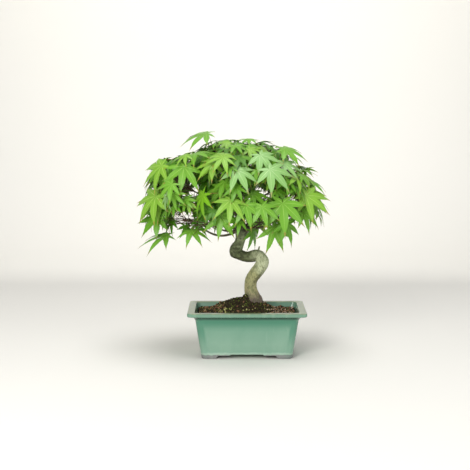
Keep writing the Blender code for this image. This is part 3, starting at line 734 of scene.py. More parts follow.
@dataclass
class Pot:
    """The glazed pot: corner feet, recessed panels, a cove under a flat rim, and a hollow."""

    width: float = 0.183
    depth: float = 0.128
    height: float = 0.0738
    rim_height: float = 0.006
    rim_width: float = 0.0115
    rim_round: float = 0.0017
    rim_dip: float = 0.0003
    undercut: float = 0.0025
    cove_height: float = 0.01
    neck_inset: float = 0.0125
    foot_inset: float = 0.0212
    foot_round: float = 0.0008
    low_levels: tuple[float, ...] = (0.0008, 0.003, 0.0082, 0.009, 0.0098, 0.011)
    wall: float = 0.0055
    floor: float = 0.015
    body_corner: float = 0.009
    rim_corner: float = 0.006
    panel_margin: float = 0.003
    panel_edge: float = 0.0014
    panel_depth: float = 0.0009
    pool_reach: float = 0.013
    arches: tuple[tuple[float, float, bool], ...] = ((0.048, 0.0265, False), (0.0235, 0.013, True))
    arch_height: float = 0.007
    arch_step: float = 0.005
    arch_slope: float = 0.0035
    arch_top_slope: float = 0.002
    cut_angle: float = 55
    cut_round: float = 0.0007
    # Each corner's side of the middle, in x and y, and the way on along the pot from it
    corners: tuple[tuple[int, ...], ...] = ((1, 1, -1, 0), (-1, 1, 0, -1), (-1, -1, 1, 0), (1, -1, 0, 1))
    corner_steps: int = 8
    side_steps: int = 34
    wall_steps: int = 10
    cove_steps: int = 8
    round_steps: int = 4
    finish: GlazeFinish = GlazeFinish()

    @property
    def neck(self) -> float:
        """Height where the cove starts."""
        return self.height - self.rim_height - self.cove_height

    def wall_inset(self, z: float) -> float:
        """How far the outer wall lies from the rim's edge, below the cove."""
        return self.foot_inset + (self.neck_inset - self.foot_inset) * z / self.neck

    def cavity_inset(self, z: float) -> float:
        """How far the inner wall lies from the rim's edge.

        Args:
            z: The height.

        Returns:
            The distance.
        """
        if z > self.neck:
            share = (self.height - z) / (self.height - self.neck)
            return self.rim_width + (self.neck_inset + self.wall - self.rim_width) * share
        return self.wall_inset(z) + self.wall

    def loop(self, inset: float, z: float, corner: float, recess: bool = False) -> Points:
        """Points round the pot at a height: each corner, then the side that runs on from it.

        Args:
            inset: Distance from the rim's edge.
            z: The height.
            corner: Radius of the round corners.
            recess: Whether the sides' panels lie a little deeper.

        Returns:
            The points, counted from the right side.
        """
        half = Vector((self.width / 2 - inset, self.depth / 2 - inset, 0.0))
        low = smooth_step(self.arch_height + 0.0015, self.arch_height + 0.003, z)
        high = 1 - smooth_step(self.neck - 0.004, self.neck + 0.002, z)
        points = []
        for quarter, (sign_x, sign_y, run_x, run_y) in enumerate(self.corners):
            middle = Vector(((half.x - corner) * sign_x, (half.y - corner) * sign_y, z))
            for step in range(self.corner_steps + 1):
                angle = pi / 2 * (quarter + step / self.corner_steps)
                points.append(middle + Vector((cos(angle), sin(angle), 0)) * corner)
            start, along = points[-1], Vector((run_x, run_y, 0))
            inward = Vector((-along.y, along.x, 0))
            length = 2 * ((half.x if run_x else half.y) - corner)
            for step in range(1, self.side_steps):
                reach = length * (0.5 - 0.5 * cos(pi * step / self.side_steps))
                edge = min(reach, length - reach)
                sunk = smooth_step(self.panel_margin, self.panel_margin + self.panel_edge, edge)
                depth = self.panel_depth * sunk * low * high if recess else 0.0
                points.append(start + along * reach + inward * depth)
        return points

    def rounded(self, inset: float, z: float, start: float) -> list[tuple[float, float]]:
        """A quarter turn of the rim's edge, as insets and heights."""
        turns = [radians(start + 90 * step / self.round_steps) for step in range(self.round_steps + 1)]
        return [(inset - self.rim_round * cos(t), z + self.rim_round * sin(t)) for t in turns]

    def body(self) -> Shape:
        """The pot before its feet are cut, from its underside up and down into its hollow.

        Returns:
            Its points and faces.
        """
        loops = [self.loop(self.foot_inset + self.foot_round, 0.0, self.body_corner)]
        low, steps = self.low_levels[-1], self.wall_steps
        levels = [*self.low_levels, *(low + (self.neck - low) * step / steps for step in range(1, steps + 1))]
        loops += [self.loop(self.wall_inset(z), z, self.body_corner, True) for z in levels]
        for step in range(1, self.cove_steps + 1):
            turn = pi / 2 * step / self.cove_steps
            inset = self.undercut + (self.neck_inset - self.undercut) * cos(turn)
            corner = self.rim_corner + (self.body_corner - self.rim_corner) * cos(turn)
            z = self.neck + self.cove_height * sin(turn)
            loops.append(self.loop(inset, z, corner, True))
        top = self.height - self.rim_round
        rim = self.rounded(self.rim_round, self.neck + self.cove_height + self.rim_round, -90)
        rim += self.rounded(self.rim_round, top, 0)
        rim.append((self.rim_width / 2, self.height - self.rim_dip))
        turned = self.rounded(self.rim_width, top, 0)[::-1]
        rim += [(2 * self.rim_width - self.rim_round - inset, z) for inset, z in turned]
        rim += [(self.cavity_inset(z), z) for z in (self.neck, self.floor)]
        return loft(loops + [self.loop(inset, z, self.rim_corner) for inset, z in rim])

    def arch(self, half: float, middle: float, along_x: bool) -> Object:
        """A bar that cuts the stepped arch between two feet.

        Args:
            half: Half width of the arch at the ground.
            middle: Half width of its higher middle part.
            along_x: Whether the arch runs from side to side.

        Returns:
            The bar.
        """
        top = middle - self.arch_top_slope
        right = [
            (half, -self.arch_height), (half, 0.0), (half - self.arch_slope, self.arch_step),
            (middle, self.arch_step), (top, self.arch_height),
        ]
        outline = right + [(-across, up) for across, up in reversed(right)]
        loops = []
        for run in (-self.width, self.width):
            bar = [(run, across, up) if along_x else (across, -run, up) for across, up in outline]
            loops.append([Vector(spot) for spot in bar])
        return Heap(*loft(loops)).piece("arch")

    def build(self) -> None:
        """Build the pot and cut its feet free."""
        pot = Heap(*self.body()).piece("glazed_pot")
        for half, middle, along_x in self.arches:
            cutter = self.arch(half, middle, along_x)
            modifier = pot.modifiers.new("cut", "BOOLEAN")
            modifier.operation = "DIFFERENCE"
            modifier.solver = "EXACT"
            modifier.object = cutter
            apply_modifier(pot)
            bpy.data.objects.remove(cutter, do_unlink=True)
        self.soften(pot.data)
        marks = [self.glaze_and_shade_at(vertex.co) for vertex in pot.data.vertices]
        store(pot.data, "pool_and_cove_shade", [pool_and_cove_shade for pool_and_cove_shade, _ in marks])
        store(pot.data, "line", [line for _, line in marks])
        pot.data.materials.clear()
        pot.data.materials.append(self.finish.material())
        hand_over(pot, ["pot"], 50)

    def glaze_and_shade_at(self, spot: Vector) -> tuple[float, float]:
        """How thick the glaze lies at a spot, with painted shade in the cove, and how near that is to the
        painted shadow line under the rim.

        Args:
            spot: A point of the pot.

        Returns:
            Two shares from 0 to 1, both 0 on the rim and inside.
        """
        inset = min(self.width / 2 - abs(spot.x), self.depth / 2 - abs(spot.y))
        outer = self.wall_inset(spot.z) if spot.z < self.neck else self.rim_width
        below = spot.z < self.neck + self.cove_height - 0.0001
        if inset >= (outer + self.cavity_inset(spot.z)) / 2 or not below:
            return 0.0, 0.0
        inset = self.wall_inset(min(spot.z, self.neck))
        half = Vector((self.width / 2, self.depth / 2)) - Vector((1, 1)) * inset
        corner = max(half.x - abs(spot.x), half.y - abs(spot.y))
        column = 0.8 * smooth_step(self.pool_reach, self.pool_reach - 0.003, corner)
        column *= 0.12 + 0.88 * smooth_step(0.012, 0.05, spot.z)
        # The cove band is deeper glaze, with painted shade under the rim's overhang
        cove = 0.95 * smooth_step(self.neck - 0.014, self.neck + 0.001, spot.z)
        # The second share is the painted shadow line under the rim
        return max(column, cove), 0.85 * smooth_step(self.neck + 0.0042, self.neck + 0.0064, spot.z)

    def soften(self, mesh: Mesh) -> None:
        """Round the edges that the arches cut.

        Args:
            mesh: The pot's mesh.
        """
        shape = bmesh.new()
        shape.from_mesh(mesh)
        bmesh.ops.remove_doubles(shape, verts=shape.verts, dist=1e-6)
        low = self.arch_height + 0.001
        cut = [
            edge
            for edge in shape.edges
            if edge.is_manifold
            and edge.calc_face_angle() > radians(self.cut_angle)
            and max(vert.co.z for vert in edge.verts) < low
        ]
        bmesh.ops.bevel(
            shape, geom=cut, offset=self.cut_round, segments=2, profile=0.5, affect="EDGES",
            clamp_overlap=True,
        )
        bmesh.ops.recalc_face_normals(shape, faces=shape.faces)
        shape.to_mesh(mesh)
        shape.free()


# Soil


PEBBLE_KINDS = 6


class ScatterTree(GrowTree):
    """Geometry Nodes that strew one kind of grain over a surface."""

    def __init__(self) -> None:
        """Build the tree."""
        super().__init__(
            "strewn_grains", Density="Float", Seed="Int", Least="Float", Most="Float", Finish="Material"
        )
        room = self.stored("room", "FLOAT")
        weight = self.add("ShaderNodeMath", {0: room, 1: self.given["Density"]}, operation="MULTIPLY")
        spread = self.add(
            "GeometryNodeDistributePointsOnFaces",
            {"Mesh": self.given["Geometry"], "Density": weight.outputs[0], "Seed": self.given["Seed"]},
        )
        pick = self.drawn("INT", {4: 0, 5: PEBBLE_KINDS - 1}).outputs[2]
        turn = self.drawn("FLOAT_VECTOR", {0: (0, 0, 0), 1: (6.28, 6.28, 6.28)}).outputs[0]
        size = self.drawn("FLOAT", {2: self.given["Least"], 3: self.given["Most"]}).outputs[1]
        flow = self.set_shapes(spread.outputs["Points"], pick, turn, size)
        painted = self.add("GeometryNodeSetMaterial", {0: flow, "Material": self.given["Finish"]})
        self.add("NodeGroupOutput", {0: painted.outputs[0]})

    def drawn(self, kind: str, ends: dict[int, Any]) -> Node:
        """A random value for each point, between two ends."""
        return self.add("FunctionNodeRandomValue", {**ends, "Seed": self.given["Seed"]}, data_type=kind)


def pebble_shapes(name: str, draw: Random, stretch: float) -> Collection:
    """A few uneven grains, of unit size, that Geometry Nodes pick from.

    Args:
        name: Name of the collection.
        draw: Random numbers.
        stretch: How long the grains are for their width.

    Returns:
        The collection.
    """
    group = bpy.data.collections.new(name)
    for index in range(PEBBLE_KINDS):
        shape = bmesh.new()
        bmesh.ops.create_icosphere(shape, subdivisions=1, radius=0.5)
        for vert in shape.verts:
            vert.co = vert.co * draw.uniform(0.72, 1.15)
            vert.co.x *= stretch
        mesh = bpy.data.meshes.new(name)
        shape.to_mesh(mesh)
        shape.free()
        group.objects.link(bpy.data.objects.new(f"{name}_{index}", mesh))
    return group


class Grain(Enum):
    """What lies on the soil.

    Each has a name, a light and a dark colour, grains in a square metre, sizes, stretch and seed.
    """

    CRUMB = ("soil_crumbs", srgb(70, 62, 40), srgb(32, 28, 18), 120000, 0.0012, 0.0036, 1.3, 3)
    CHIP = ("bark_chips", srgb(162, 120, 90), srgb(96, 68, 50), 46000, 0.0016, 0.0044, 1.6, 4)
    GRIT = ("pale_grit", srgb(214, 210, 146), srgb(160, 160, 86), 38000, 0.0014, 0.0034, 1.5, 5)
    MOSS = ("moss_tufts", srgb(118, 140, 52), srgb(56, 76, 26), 100000, 0.001, 0.0024, 1.0, 6)
    PUMICE = ("pink_grains", srgb(236, 206, 186), srgb(182, 148, 126), 60000, 0.0016, 0.0038, 1.3, 7)
    LOAM = ("pale_loam", srgb(182, 168, 116), srgb(124, 110, 72), 66000, 0.0012, 0.0032, 1.3, 8)


@dataclass
class Soil:
    """The soil: low at the walls, heaped round the trunk, with crumbs, chips, grit and moss."""

    pot: Pot
    trunk_x: float = 0.0099
    edge_height: float = 0.0655
    top_height: float = 0.0872
    mound: Vector = Vector((-0.0065, 0.001)).freeze()
    mound_reach: Vector = Vector((0.045, 0.039)).freeze()
    mound_power: float = 2.8
    collar: Vector = Vector((0.0005, -0.003)).freeze()
    collar_rise: float = 0.008
    collar_spread: float = 0.007
    lumps: Triple = (110, 1.7, 0.0018)
    crumbs: Triple = (420, 5.1, 0.0008)
    edge_lumps: Triple = (55, 9.0, 0.0014)
    gap: float = 0.0003
    rings: int = 40

    @staticmethod
    def uneven(x: float, y: float, ripple: Triple) -> float:
        """How far a ripple of some waves in a metre, layer and rise lifts a place."""
        waves, layer, rise = ripple
        return rise * noise.noise(Vector((x * waves, y * waves, layer)))

    def surface_height(self, x: float, y: float) -> float:
        """Height of the soil at a place.

        Args:
            x: How far right the place lies.
            y: How far back it lies.

        Returns:
            The height.
        """
        away = hypot((x - self.mound.x) / self.mound_reach.x, (y - self.mound.y) / self.mound_reach.y)
        fade = exp(-(away**self.mound_power))
        root = self.collar_rise * exp(-((Vector((x, y)) - self.collar).length / self.collar_spread) ** 2)
        edge = self.edge_height + self.uneven(x, y, self.edge_lumps)
        heaped = edge + (self.top_height - edge) * fade + root
        return heaped + self.uneven(x, y, self.lumps) + self.uneven(x, y, self.crumbs)

    def ring(self, level: float, z: float) -> Points:
        """Points just inside the pot's hollow of one level, laid at a height."""
        return self.pot.loop(self.pot.cavity_inset(level) + self.gap, z, self.pot.rim_corner)

    def build(self) -> None:
        """Build the soil, then strew it."""
        wall = self.ring(self.edge_height, 0.0)
        middle = Vector((self.trunk_x, 0.0, 0.0))
        top = []
        for ring in range(self.rings):
            loop = [point.lerp(middle, ring / self.rings) for point in wall]
            top.append([Vector((p.x, p.y, self.surface_height(p.x, p.y))) for p in loop])
        loops = [self.ring(z, z) for z in (self.pot.floor + self.gap, self.pot.neck)]
        earth = EarthFinish("dark_soil", srgb(70, 56, 38), srgb(34, 29, 20)).material()
        soil = Heap(*loft(loops + top)).piece("potting_soil", earth)
        self.strew(top)
        hand_over(soil, ["soil"], None)
        soil.data.shade_smooth()

    def strew(self, top: list[Points]) -> None:
        """Lay the grains, each kind where it belongs.

        Args:
            top: The rings of the soil's surface.
        """
        tree = ScatterTree()
        for kind in Grain:
            name, light, dark, density, least, most, stretch, seed = kind.value
            shapes = pebble_shapes(name, Random(seed), stretch)
            settings = {
                "Shapes": shapes, "Density": float(density), "Seed": seed, "Least": least, "Most": most,
                "Finish": EarthFinish(name, light, dark).material(),
            }
            grains = tree.run(name, self.bed(top, kind), settings)
            bpy.data.batch_remove([*shapes.objects, shapes])
            hand_over(grains, ["soil"], 60)

    def bed(self, top: list[Points], kind: Grain) -> Mesh:
        """The surface that one kind of grain lies on, with how thick it lies at each point.

        Args:
            top: The rings of the soil's surface.
            kind: The grain.

        Returns:
            The surface.
        """
        points = [point for ring in top for point in ring]
        faces = bands(range(1, len(top) - 1), len(top[0]))
        mesh = bpy.data.meshes.new("bed")
        mesh.from_pydata(points, [], faces)
        store(mesh, "room", [self.thickness(point, kind) for point in points])
        return mesh

    def thickness(self, spot: Vector, kind: Grain) -> float:
        """How thick one kind of grain lies at a place.

        Args:
            spot: The place.
            kind: The grain.

        Returns:
            The share, up to about 1.
        """
        if (spot.xy - Vector((self.trunk_x, 0))).length < 0.009:
            return 0.0
        near = exp(-((spot.x - self.trunk_x) ** 2 + spot.y**2) / 0.026**2)
        patch = 0.5 + noise.noise(Vector((spot.x * 60, spot.y * 60, 3.0)))
        front = smooth_step(-0.018, -0.036, spot.y)
        drift = exp(-(((spot.x + 0.036) / 0.014) ** 2))
        drift += 0.5 * exp(-(((spot.x - 0.001) / 0.006) ** 2))
        sides = smooth_step(0.026, 0.046, abs(spot.x + 0.004))
        shares = {
            Grain.CRUMB: 1.0,
            Grain.CHIP: 0.05 + 0.9 * sides * max(0.2, patch),
            Grain.GRIT: 0.02 + 1.2 * front * drift,
            Grain.MOSS: 0.4 + 0.8 * front * drift + 0.3 * near,
            Grain.PUMICE: 0.9 * smooth_step(0.022, 0.044, spot.x) * max(0.2, patch),
            Grain.LOAM: 0.08 + 1.0 * sides * max(0.35, 1 - patch),
        }
        return shares[kind]


# Trunk and boughs


@dataclass(frozen=True)
class Knot:
    """A swelling or a hollow on the trunk."""

    spot: Triple
    size: float
    rise: float


@dataclass(frozen=True)
class Nudge:
    """A small shift and swelling of the bark, at a share of the trunk's run and fading over a spread."""

    run: float
    spread: float
    shift_x: float
    shift_z: float
    swell: float


@dataclass(frozen=True)
class Limb:
    """One bough and the mass of foliage that it carries."""

    name: str
    trunk_height: float
    azimuth: float
    reach: float
    height: float
    sag: float
    radius: float


LIMBS = (
    Limb("low_left", 0.195, 184, 0.66, 0.203, 0.014, 0.0027),
    Limb("low_front_left", 0.201, 238, 0.68, 0.208, 0.006, 0.0026),
    Limb("low_front_right", 0.1985, 302, 0.68, 0.208, 0.006, 0.0028),
    Limb("low_right", 0.204, 4, 0.66, 0.206, 0.008, 0.003),
    Limb("low_back_right", 0.206, 62, 0.68, 0.208, 0.004, 0.0026),
    Limb("low_back_left", 0.199, 122, 0.68, 0.208, 0.004, 0.0026),
    Limb("high_left", 0.22, 196, 0.66, 0.268, 0.0, 0.0024),
    Limb("high_front", 0.228, 276, 0.62, 0.268, 0.0, 0.0023),
    Limb("high_right", 0.224, 346, 0.62, 0.266, 0.0, 0.0025),
    Limb("high_back", 0.232, 88, 0.62, 0.268, 0.0, 0.0022),
    Limb("top_left", 0.248, 170, 0.36, 0.3, 0.0, 0.002),
    Limb("top_right", 0.0, 20, 0.22, 0.306, 0.0, 0.002),
)
CROWN_LEADER = "top_right"


@dataclass
class Trunk:
    """The winding trunk with its root flare, knots and bark relief, and the boughs that leave it."""

    pulls: tuple[tuple[float, ...], ...] = (
        (0.0115, 0.0, 0.081, 0.0102), (0.0085, 0.001, 0.094, 0.0099), (0.001, 0.003, 0.111, 0.0094),
        (0.0145, -0.004, 0.129, 0.0095), (0.0285, -0.006, 0.146, 0.01), (0.0215, -0.001, 0.159, 0.0094),
        (0.0025, 0.004, 0.1505, 0.0074), (-0.0185, 0.003, 0.1545, 0.0074), (-0.0245, -0.001, 0.165, 0.0082),
        (-0.0105, -0.003, 0.18, 0.0072), (-0.007, 0.0, 0.197, 0.008), (-0.014, 0.002, 0.219, 0.0062),
        (-0.008, -0.001, 0.246, 0.0044), (-0.015, 0.001, 0.27, 0.0032), (-0.011, 0.0, 0.292, 0.0022),
    )
    coarse_step: float = 0.007
    fine_step: float = 0.0012
    sides: int = 56
    foot: float = 0.0873
    flare: float = 0.34
    flare_height: float = 0.007
    root_lobes: int = 5
    lobe_depth: float = 0.13
    burl_height: float = 0.193
    burl_spread: float = 0.009
    burl_swell: float = 0.38
    nudges: tuple[Nudge, ...] = (
        Nudge(0.105, 0.035, 0.0016, 0.0, 0.0), Nudge(0.3, 0.03, -0.0018, -0.0014, 0.0),
        Nudge(0.375, 0.03, 0.0, 0.0, 0.08), Nudge(0.455, 0.035, 0.0, 0.0027, 0.1),
        Nudge(0.545, 0.05, 0.0046, 0.0, 0.0), Nudge(0.535, 0.025, 0.0, 0.0, 0.16),
    )
    bough_share: float = 0.66
    bough_sway: float = 0.07
    bough_taper: float = 0.45
    bough_step: float = 0.012
    bough_fine_step: float = 0.002
    bough_sides: int = 14
    collar: float = 0.8
    collar_spread: float = 0.004
    bough_thin: float = 0.82
    knots: tuple[Knot, ...] = (
        Knot((0.011, -0.004, 0.165), 0.006, 0.0016),
        Knot((0.0035, -0.004, 0.159), 0.004, -0.0012),
        Knot((-0.027, -0.002, 0.1525), 0.0045, 0.0024),
        Knot((-0.013, -0.008, 0.156), 0.004, 0.0009),
        Knot((-0.002, -0.008, 0.159), 0.0035, -0.0008),
        Knot((-0.022, -0.008, 0.166), 0.004, 0.0008),
        Knot((0.033, -0.01, 0.15), 0.009, 0.0006),
        Knot((-0.01, -0.009, 0.188), 0.006, 0.0009),
        Knot((0.008, -0.01, 0.116), 0.006, 0.0006),
        Knot((0.0, -0.01, 0.099), 0.006, 0.0006),
    )
    stub_lean: Vector = Vector((0.25, -0.15, 1.0)).freeze()
    stub_share: float = 0.34
    stub: tuple[tuple[float, float], ...] = (
        (-0.004, 0.0022), (0.0, 0.0015), (0.003, 0.0013), (0.006, 0.0012),
    )

    def path(self, step: float) -> tuple[Points, list[float]]:
        """Centres and radii of the trunk, from the flat cut at the soil to its tip."""
        samples = spline([Vector(pull) for pull in self.pulls], step)
        return [sample.xyz for sample in samples], [sample.w for sample in samples]

    def bark_path(self) -> tuple[Points, list[float]]:
        """Centres and radii of the bark's fine rings, nudged to the photograph's bends.

        Returns:
            The centres and the radii.
        """
        centres, radii = self.path(self.fine_step)
        for index, centre in enumerate(centres):
            for nudge in self.nudges:
                near = exp(-(((index / len(centres) - nudge.run) / nudge.spread) ** 2))
                centre += Vector((nudge.shift_x, 0, nudge.shift_z)) * near
                radii[index] *= 1 + nudge.swell * near
        return centres, radii

    def bark_swell(
        self, centres: Points, radii: list[float], index: int, angle: float, spoke: Vector
    ) -> float:
        """How the bark swells and sinks at a spot.

        Args:
            centres: Centres of the rings.
            radii: Radii of the rings.
            index: The spot's ring.
            angle: Its place round the ring, in radians.
            spoke: The way that it faces.

        Returns:
            The share of the radius.
        """
        centre, radius = centres[index], radii[index]
        low = exp(-max(0.0, centre.z - self.foot) / self.flare_height)
        share = (1 + self.lobe_depth * cos(self.root_lobes * angle) * low) * (1 + self.flare * low)
        burl = exp(-(((centre.z - self.burl_height) / self.burl_spread) ** 2))
        share += self.burl_swell * burl * (1 + 0.3 * spoke.x)
        spot = centre + spoke * radius
        along = index * self.fine_step
        turn = angle + along * 9
        flutes = noise.noise(Vector((cos(turn) * 2.2, sin(turn) * 2.2, along * 22)))
        ridges = noise.noise(Vector((cos(turn) * 6, sin(turn) * 6, along * 60 + 7)))
        wrinkles = noise.noise(Vector((cos(turn) * 2, sin(turn) * 2, along * 260 + 3)))
        share += 0.085 * flutes + 0.05 * ridges + 0.024 * wrinkles
        for knot in self.knots:
            distance = (spot - Vector(knot.spot)).length
            share += knot.rise / radius * exp(-((distance / knot.size) ** 2))
        return share

    def build(self) -> None:
        """Build the trunk with its stub, then the boughs."""
        centres, radii = self.bark_path()
        heap = Heap(*tube(centres, radii, self.sides, UP, partial(self.bark_swell, centres, radii)))
        start = round(self.stub_share * len(centres))
        lean = self.stub_lean.normalized()
        stub = [centres[start] + lean * (radii[start] + reach) for reach, _ in self.stub]
        heap.add(tube(stub, [radius for _, radius in self.stub], 10))
        trunk = heap.piece("bark_trunk", BarkFinish().material())
        run = [index // self.sides / len(centres) for index in range(len(centres) * self.sides)]
        run += [self.stub_share] * (len(heap.points) - len(run))
        # How far each point faces down, for the painted shade on the undersides
        under = [smooth_step(0.25, 0.95, -vertex.normal.z) for vertex in trunk.data.vertices]
        store(trunk.data, "run", run)
        store(trunk.data, "under", under)
        hand_over(trunk, ["trunk"], 60)
        self.build_boughs()

    def build_boughs(self) -> None:
        """Build the boughs, each with a collar where it leaves the trunk."""
        coarse, _ = self.path(self.coarse_step)
        fine, fine_radii = self.path(self.fine_step)
        limbs = [limb for limb in LIMBS if limb.name != CROWN_LEADER]
        heap = Heap()
        for limb in limbs:
            points, radii = self.bough(limb, coarse)
            pulls = [Vector((*point, radius)) for point, radius in zip(points, radii)]
            smooth = spline(pulls, self.bough_fine_step)
            base = min(range(len(fine)), key=lambda i: (fine[i] - smooth[0].xyz).length)
            swells = []
            for sample in smooth:
                outside = max(0.0, (sample.xyz - smooth[0].xyz).length - fine_radii[base] * 0.8)
                collar = self.collar * exp(-outside / self.collar_spread)
                swells.append(sample.w * (self.bough_thin + collar))
            swell = partial(self.bough_swell, limb.azimuth)
            heap.add(tube([s.xyz for s in smooth], swells, self.bough_sides, None, swell))
        bark = BarkFinish("bough_bark", ((0.0, srgb(84, 74, 58)), (0.03, srgb(118, 108, 88))))
        boughs = heap.piece("bark_boughs", bark.material())
        hand_over(boughs, [f"bough_{limb.name}" for limb in limbs], 60)

    @staticmethod
    def bough_swell(azimuth: float, index: int, angle: float, spoke: Vector) -> float:
        """How a bough's bark swells at a spot, by ring and angle: slow bulges, and growth rings."""
        bulge = noise.noise(Vector((index * 0.35, azimuth, cos(angle))))
        return 1 + 0.12 * bulge + 0.06 * noise.noise(Vector((index * 1.7, azimuth + 9, sin(angle) * 2)))

    def bough(self, limb: Limb, centres: Points) -> tuple[Points, list[float]]:
        """A bough's curve, from the middle of the trunk to where it enters its foliage.

        Args:
            limb: The bough.
            centres: The trunk's centres.

        Returns:
            Its points and radii.
        """
        root = min(centres, key=lambda centre: abs(centre.z - limb.trunk_height))
        tip = root.lerp(CROWN.middle_of(limb), self.bough_share)
        run = tip - root
        sideways = run.cross(UP).normalized()
        sway = run.length * self.bough_sway * (1 if limb.azimuth % 4 == 0 else -1)
        drop = Vector((0, 0, limb.sag))
        near, far = root + run * 0.3 + sideways * sway, root + run * 0.68 - sideways * sway
        points = spline([root, near - drop, far - drop, tip], self.bough_step)
        last = len(points) - 1
        return points, [limb.radius * (1 - self.bough_taper * index / last) for index in range(last + 1)]


# Crown


@dataclass
class Dome:
    """The crown's dome, which the leaves' joints lie on, and the places where it is open."""

    middle: Vector = Vector((-0.0225, 0.0, 0.208)).freeze()
    half_width: float = 0.126
    half_depth: float = 0.11
    rise: float = 0.121
    tilt: float = 0.1
    shoulder: float = 3.2
    shoulder_swing: float = 0.8
    openings: tuple[Triple, ...] = (
        (-0.102, 0.212, 0.016), (-0.08, 0.259, 0.009), (0.021, 0.254, 0.009),
        (0.067, 0.242, 0.01), (-0.042, 0.195, 0.01), (0.07, 0.297, 0.009),
    )
    bare: tuple[tuple[float, float, float, float], ...] = (
        (-0.023, 0.15, -0.002, 0.183), (-0.165, 0.14, -0.06, 0.188),
        (-0.06, 0.14, -0.025, 0.184), (0.062, 0.14, 0.14, 0.186),
        (-0.17, 0.3115, -0.1103, 0.37), (-0.1103, 0.316, -0.09, 0.37),
        (-0.09, 0.319, -0.08, 0.37), (-0.08, 0.324, -0.07, 0.37),
        (-0.053, 0.3365, -0.0125, 0.37),
    )

    def middle_of(self, limb: Limb) -> Vector:
        """The middle of a bough's foliage."""
        angle = radians(limb.azimuth)
        return Vector((
            self.middle.x + self.half_width * limb.reach * cos(angle),
            self.middle.y + self.half_depth * limb.reach * sin(angle),
            limb.height,
        ))

    def point(self, direction: Vector, scale: float) -> tuple[Vector, Vector]:
        """The dome's surface in a direction.

        Args:
            direction: The direction from the dome's middle.
            scale: Size of the dome there, 1 at its full size.

        Returns:
            The point, and the way that the dome faces there.
        """
        azimuth = atan2(direction.y, direction.x)
        power = self.shoulder - self.shoulder_swing * cos(azimuth)
        total = sum(abs(part) ** power for part in direction)
        reach = scale * total ** (-1 / power)
        sizes = Vector((self.half_width, self.half_depth, self.rise))
        offset = Vector(part * size * reach for part, size in zip(direction, sizes))
        facing = Vector(part / size for part, size in zip(offset, sizes)).normalized()
        offset.z += self.tilt * offset.x * (1 - offset.z / self.rise)
        return self.middle + offset, facing

    def seen(self, point: Vector) -> Vector:
        """Where a point is seen on the plane through the trunk."""
        share = -VIEW_POINT.y / (point.y - VIEW_POINT.y)
        return VIEW_POINT + (point - VIEW_POINT) * share

    def open_at(self, points: Iterable[Vector], share: float = 1.0) -> bool:
        """Whether points stand in one of the places where the crown is open."""
        return any(
            hypot(seen.x - x, seen.z - z) < radius * share
            for seen in map(self.seen, points)
            for x, z, radius in self.openings
        )

    def bare_at(self, points: Iterable[Vector]) -> bool:
        """Whether points are seen where the front shows bare trunk, or nothing under the skirt."""
        return any(
            left < seen.x < right and low < seen.z < high
            for seen in map(self.seen, points)
            for left, low, right, high in self.bare
        )


CROWN = Dome()
LOBE_LENGTH = 0.039
LEAF_DROOP = 0.26
LEAF_HALF_THICKNESS = 0.0007
LEAF_ROOM = 0.0006
LIMB_ROOM = 0.001
SEAT_GAP = 0.0003
STALK_RADIUS = 0.0006
STALK_BEND = 0.0035
LOBE_ANGLES = (0.0, 37.0, 76.0, 120.0)
LOBE_SHARES = (1.0, 0.94, 0.74, 0.44)


def source_outline() -> list[tuple[float, float]]:
    """The outline of a leaf of the solids.

    Returns:
        Angle and reach of each point, reach as a share of the middle lobe.
    """
    lobes = list(zip(LOBE_ANGLES, LOBE_SHARES))
    right = []
    for index, (angle, share) in enumerate(lobes):
        if index:
            right.append(((lobes[index - 1][0] + angle) / 2, 0.4 * sqrt(share)))
        right.append((angle, share))
    left = [(-angle, share) for angle, share in reversed(right[1:])]
    return [(-180.0, 0.12), *left, *right]


SOURCE_OUTLINE = source_outline()


@dataclass
class Leaf:
    """One leaf, or a place for one: where its lobes meet, its axes, its size and its green.

    The mass that it belongs to and the root of its stalk are found when it grows.
    """

    joint: Vector
    heading: Vector
    facing: Vector
    size: float
    feature: bool = False
    tone: Tone | None = None
    mass: "Mass | None" = None
    root: Vector | None = None

    def blade(self, extra: float, core: float = 1.0) -> Shape:
        """The blade of the solids, for the tests of what it would touch.

        Args:
            extra: Room round it.
            core: The share of its reach that counts.

        Returns:
            Its points and faces.
        """
        across = self.heading.cross(self.facing)
        length = LOBE_LENGTH * self.size * core * (1 + extra * 20)
        thick = LEAF_HALF_THICKNESS + extra
        rim = []
        for angle, share in SOURCE_OUTLINE:
            turn = radians(angle)
            flat = (self.heading * cos(turn) + across * sin(turn)) * share * length
            rim.append(self.joint + flat - self.facing * LEAF_DROOP * length * share**2)
        count = len(rim)
        faces = [((i + 1) % count, i, count) for i in range(count)]
        faces += [(i, (i + 1) % count, count + 1) for i in range(count)]
        return [*rim, self.joint + self.facing * thick, self.joint - self.facing * thick], faces

    def stalk_room(self, begin: float) -> Shape:
        """The stalk with room round it, without the first share of its length."""
        elbow = self.joint - self.facing * (LEAF_HALF_THICKNESS + STALK_BEND)
        return tube([self.root.lerp(elbow, begin), elbow, self.joint], [STALK_RADIUS + LEAF_ROOM] * 3, 3)

    def stalk_path(self) -> Points:
        """The smooth run of the stalk, from its twig to the foot of the blade.

        Returns:
            The points of the run.
        """
        foot = self.joint - self.facing * 0.0002
        bend = self.joint - self.facing * 0.003 - self.heading * 0.0035 * self.size
        return spline([self.root, self.root.lerp(bend, 0.55) + UP * 0.0012, bend, foot], 0.004)


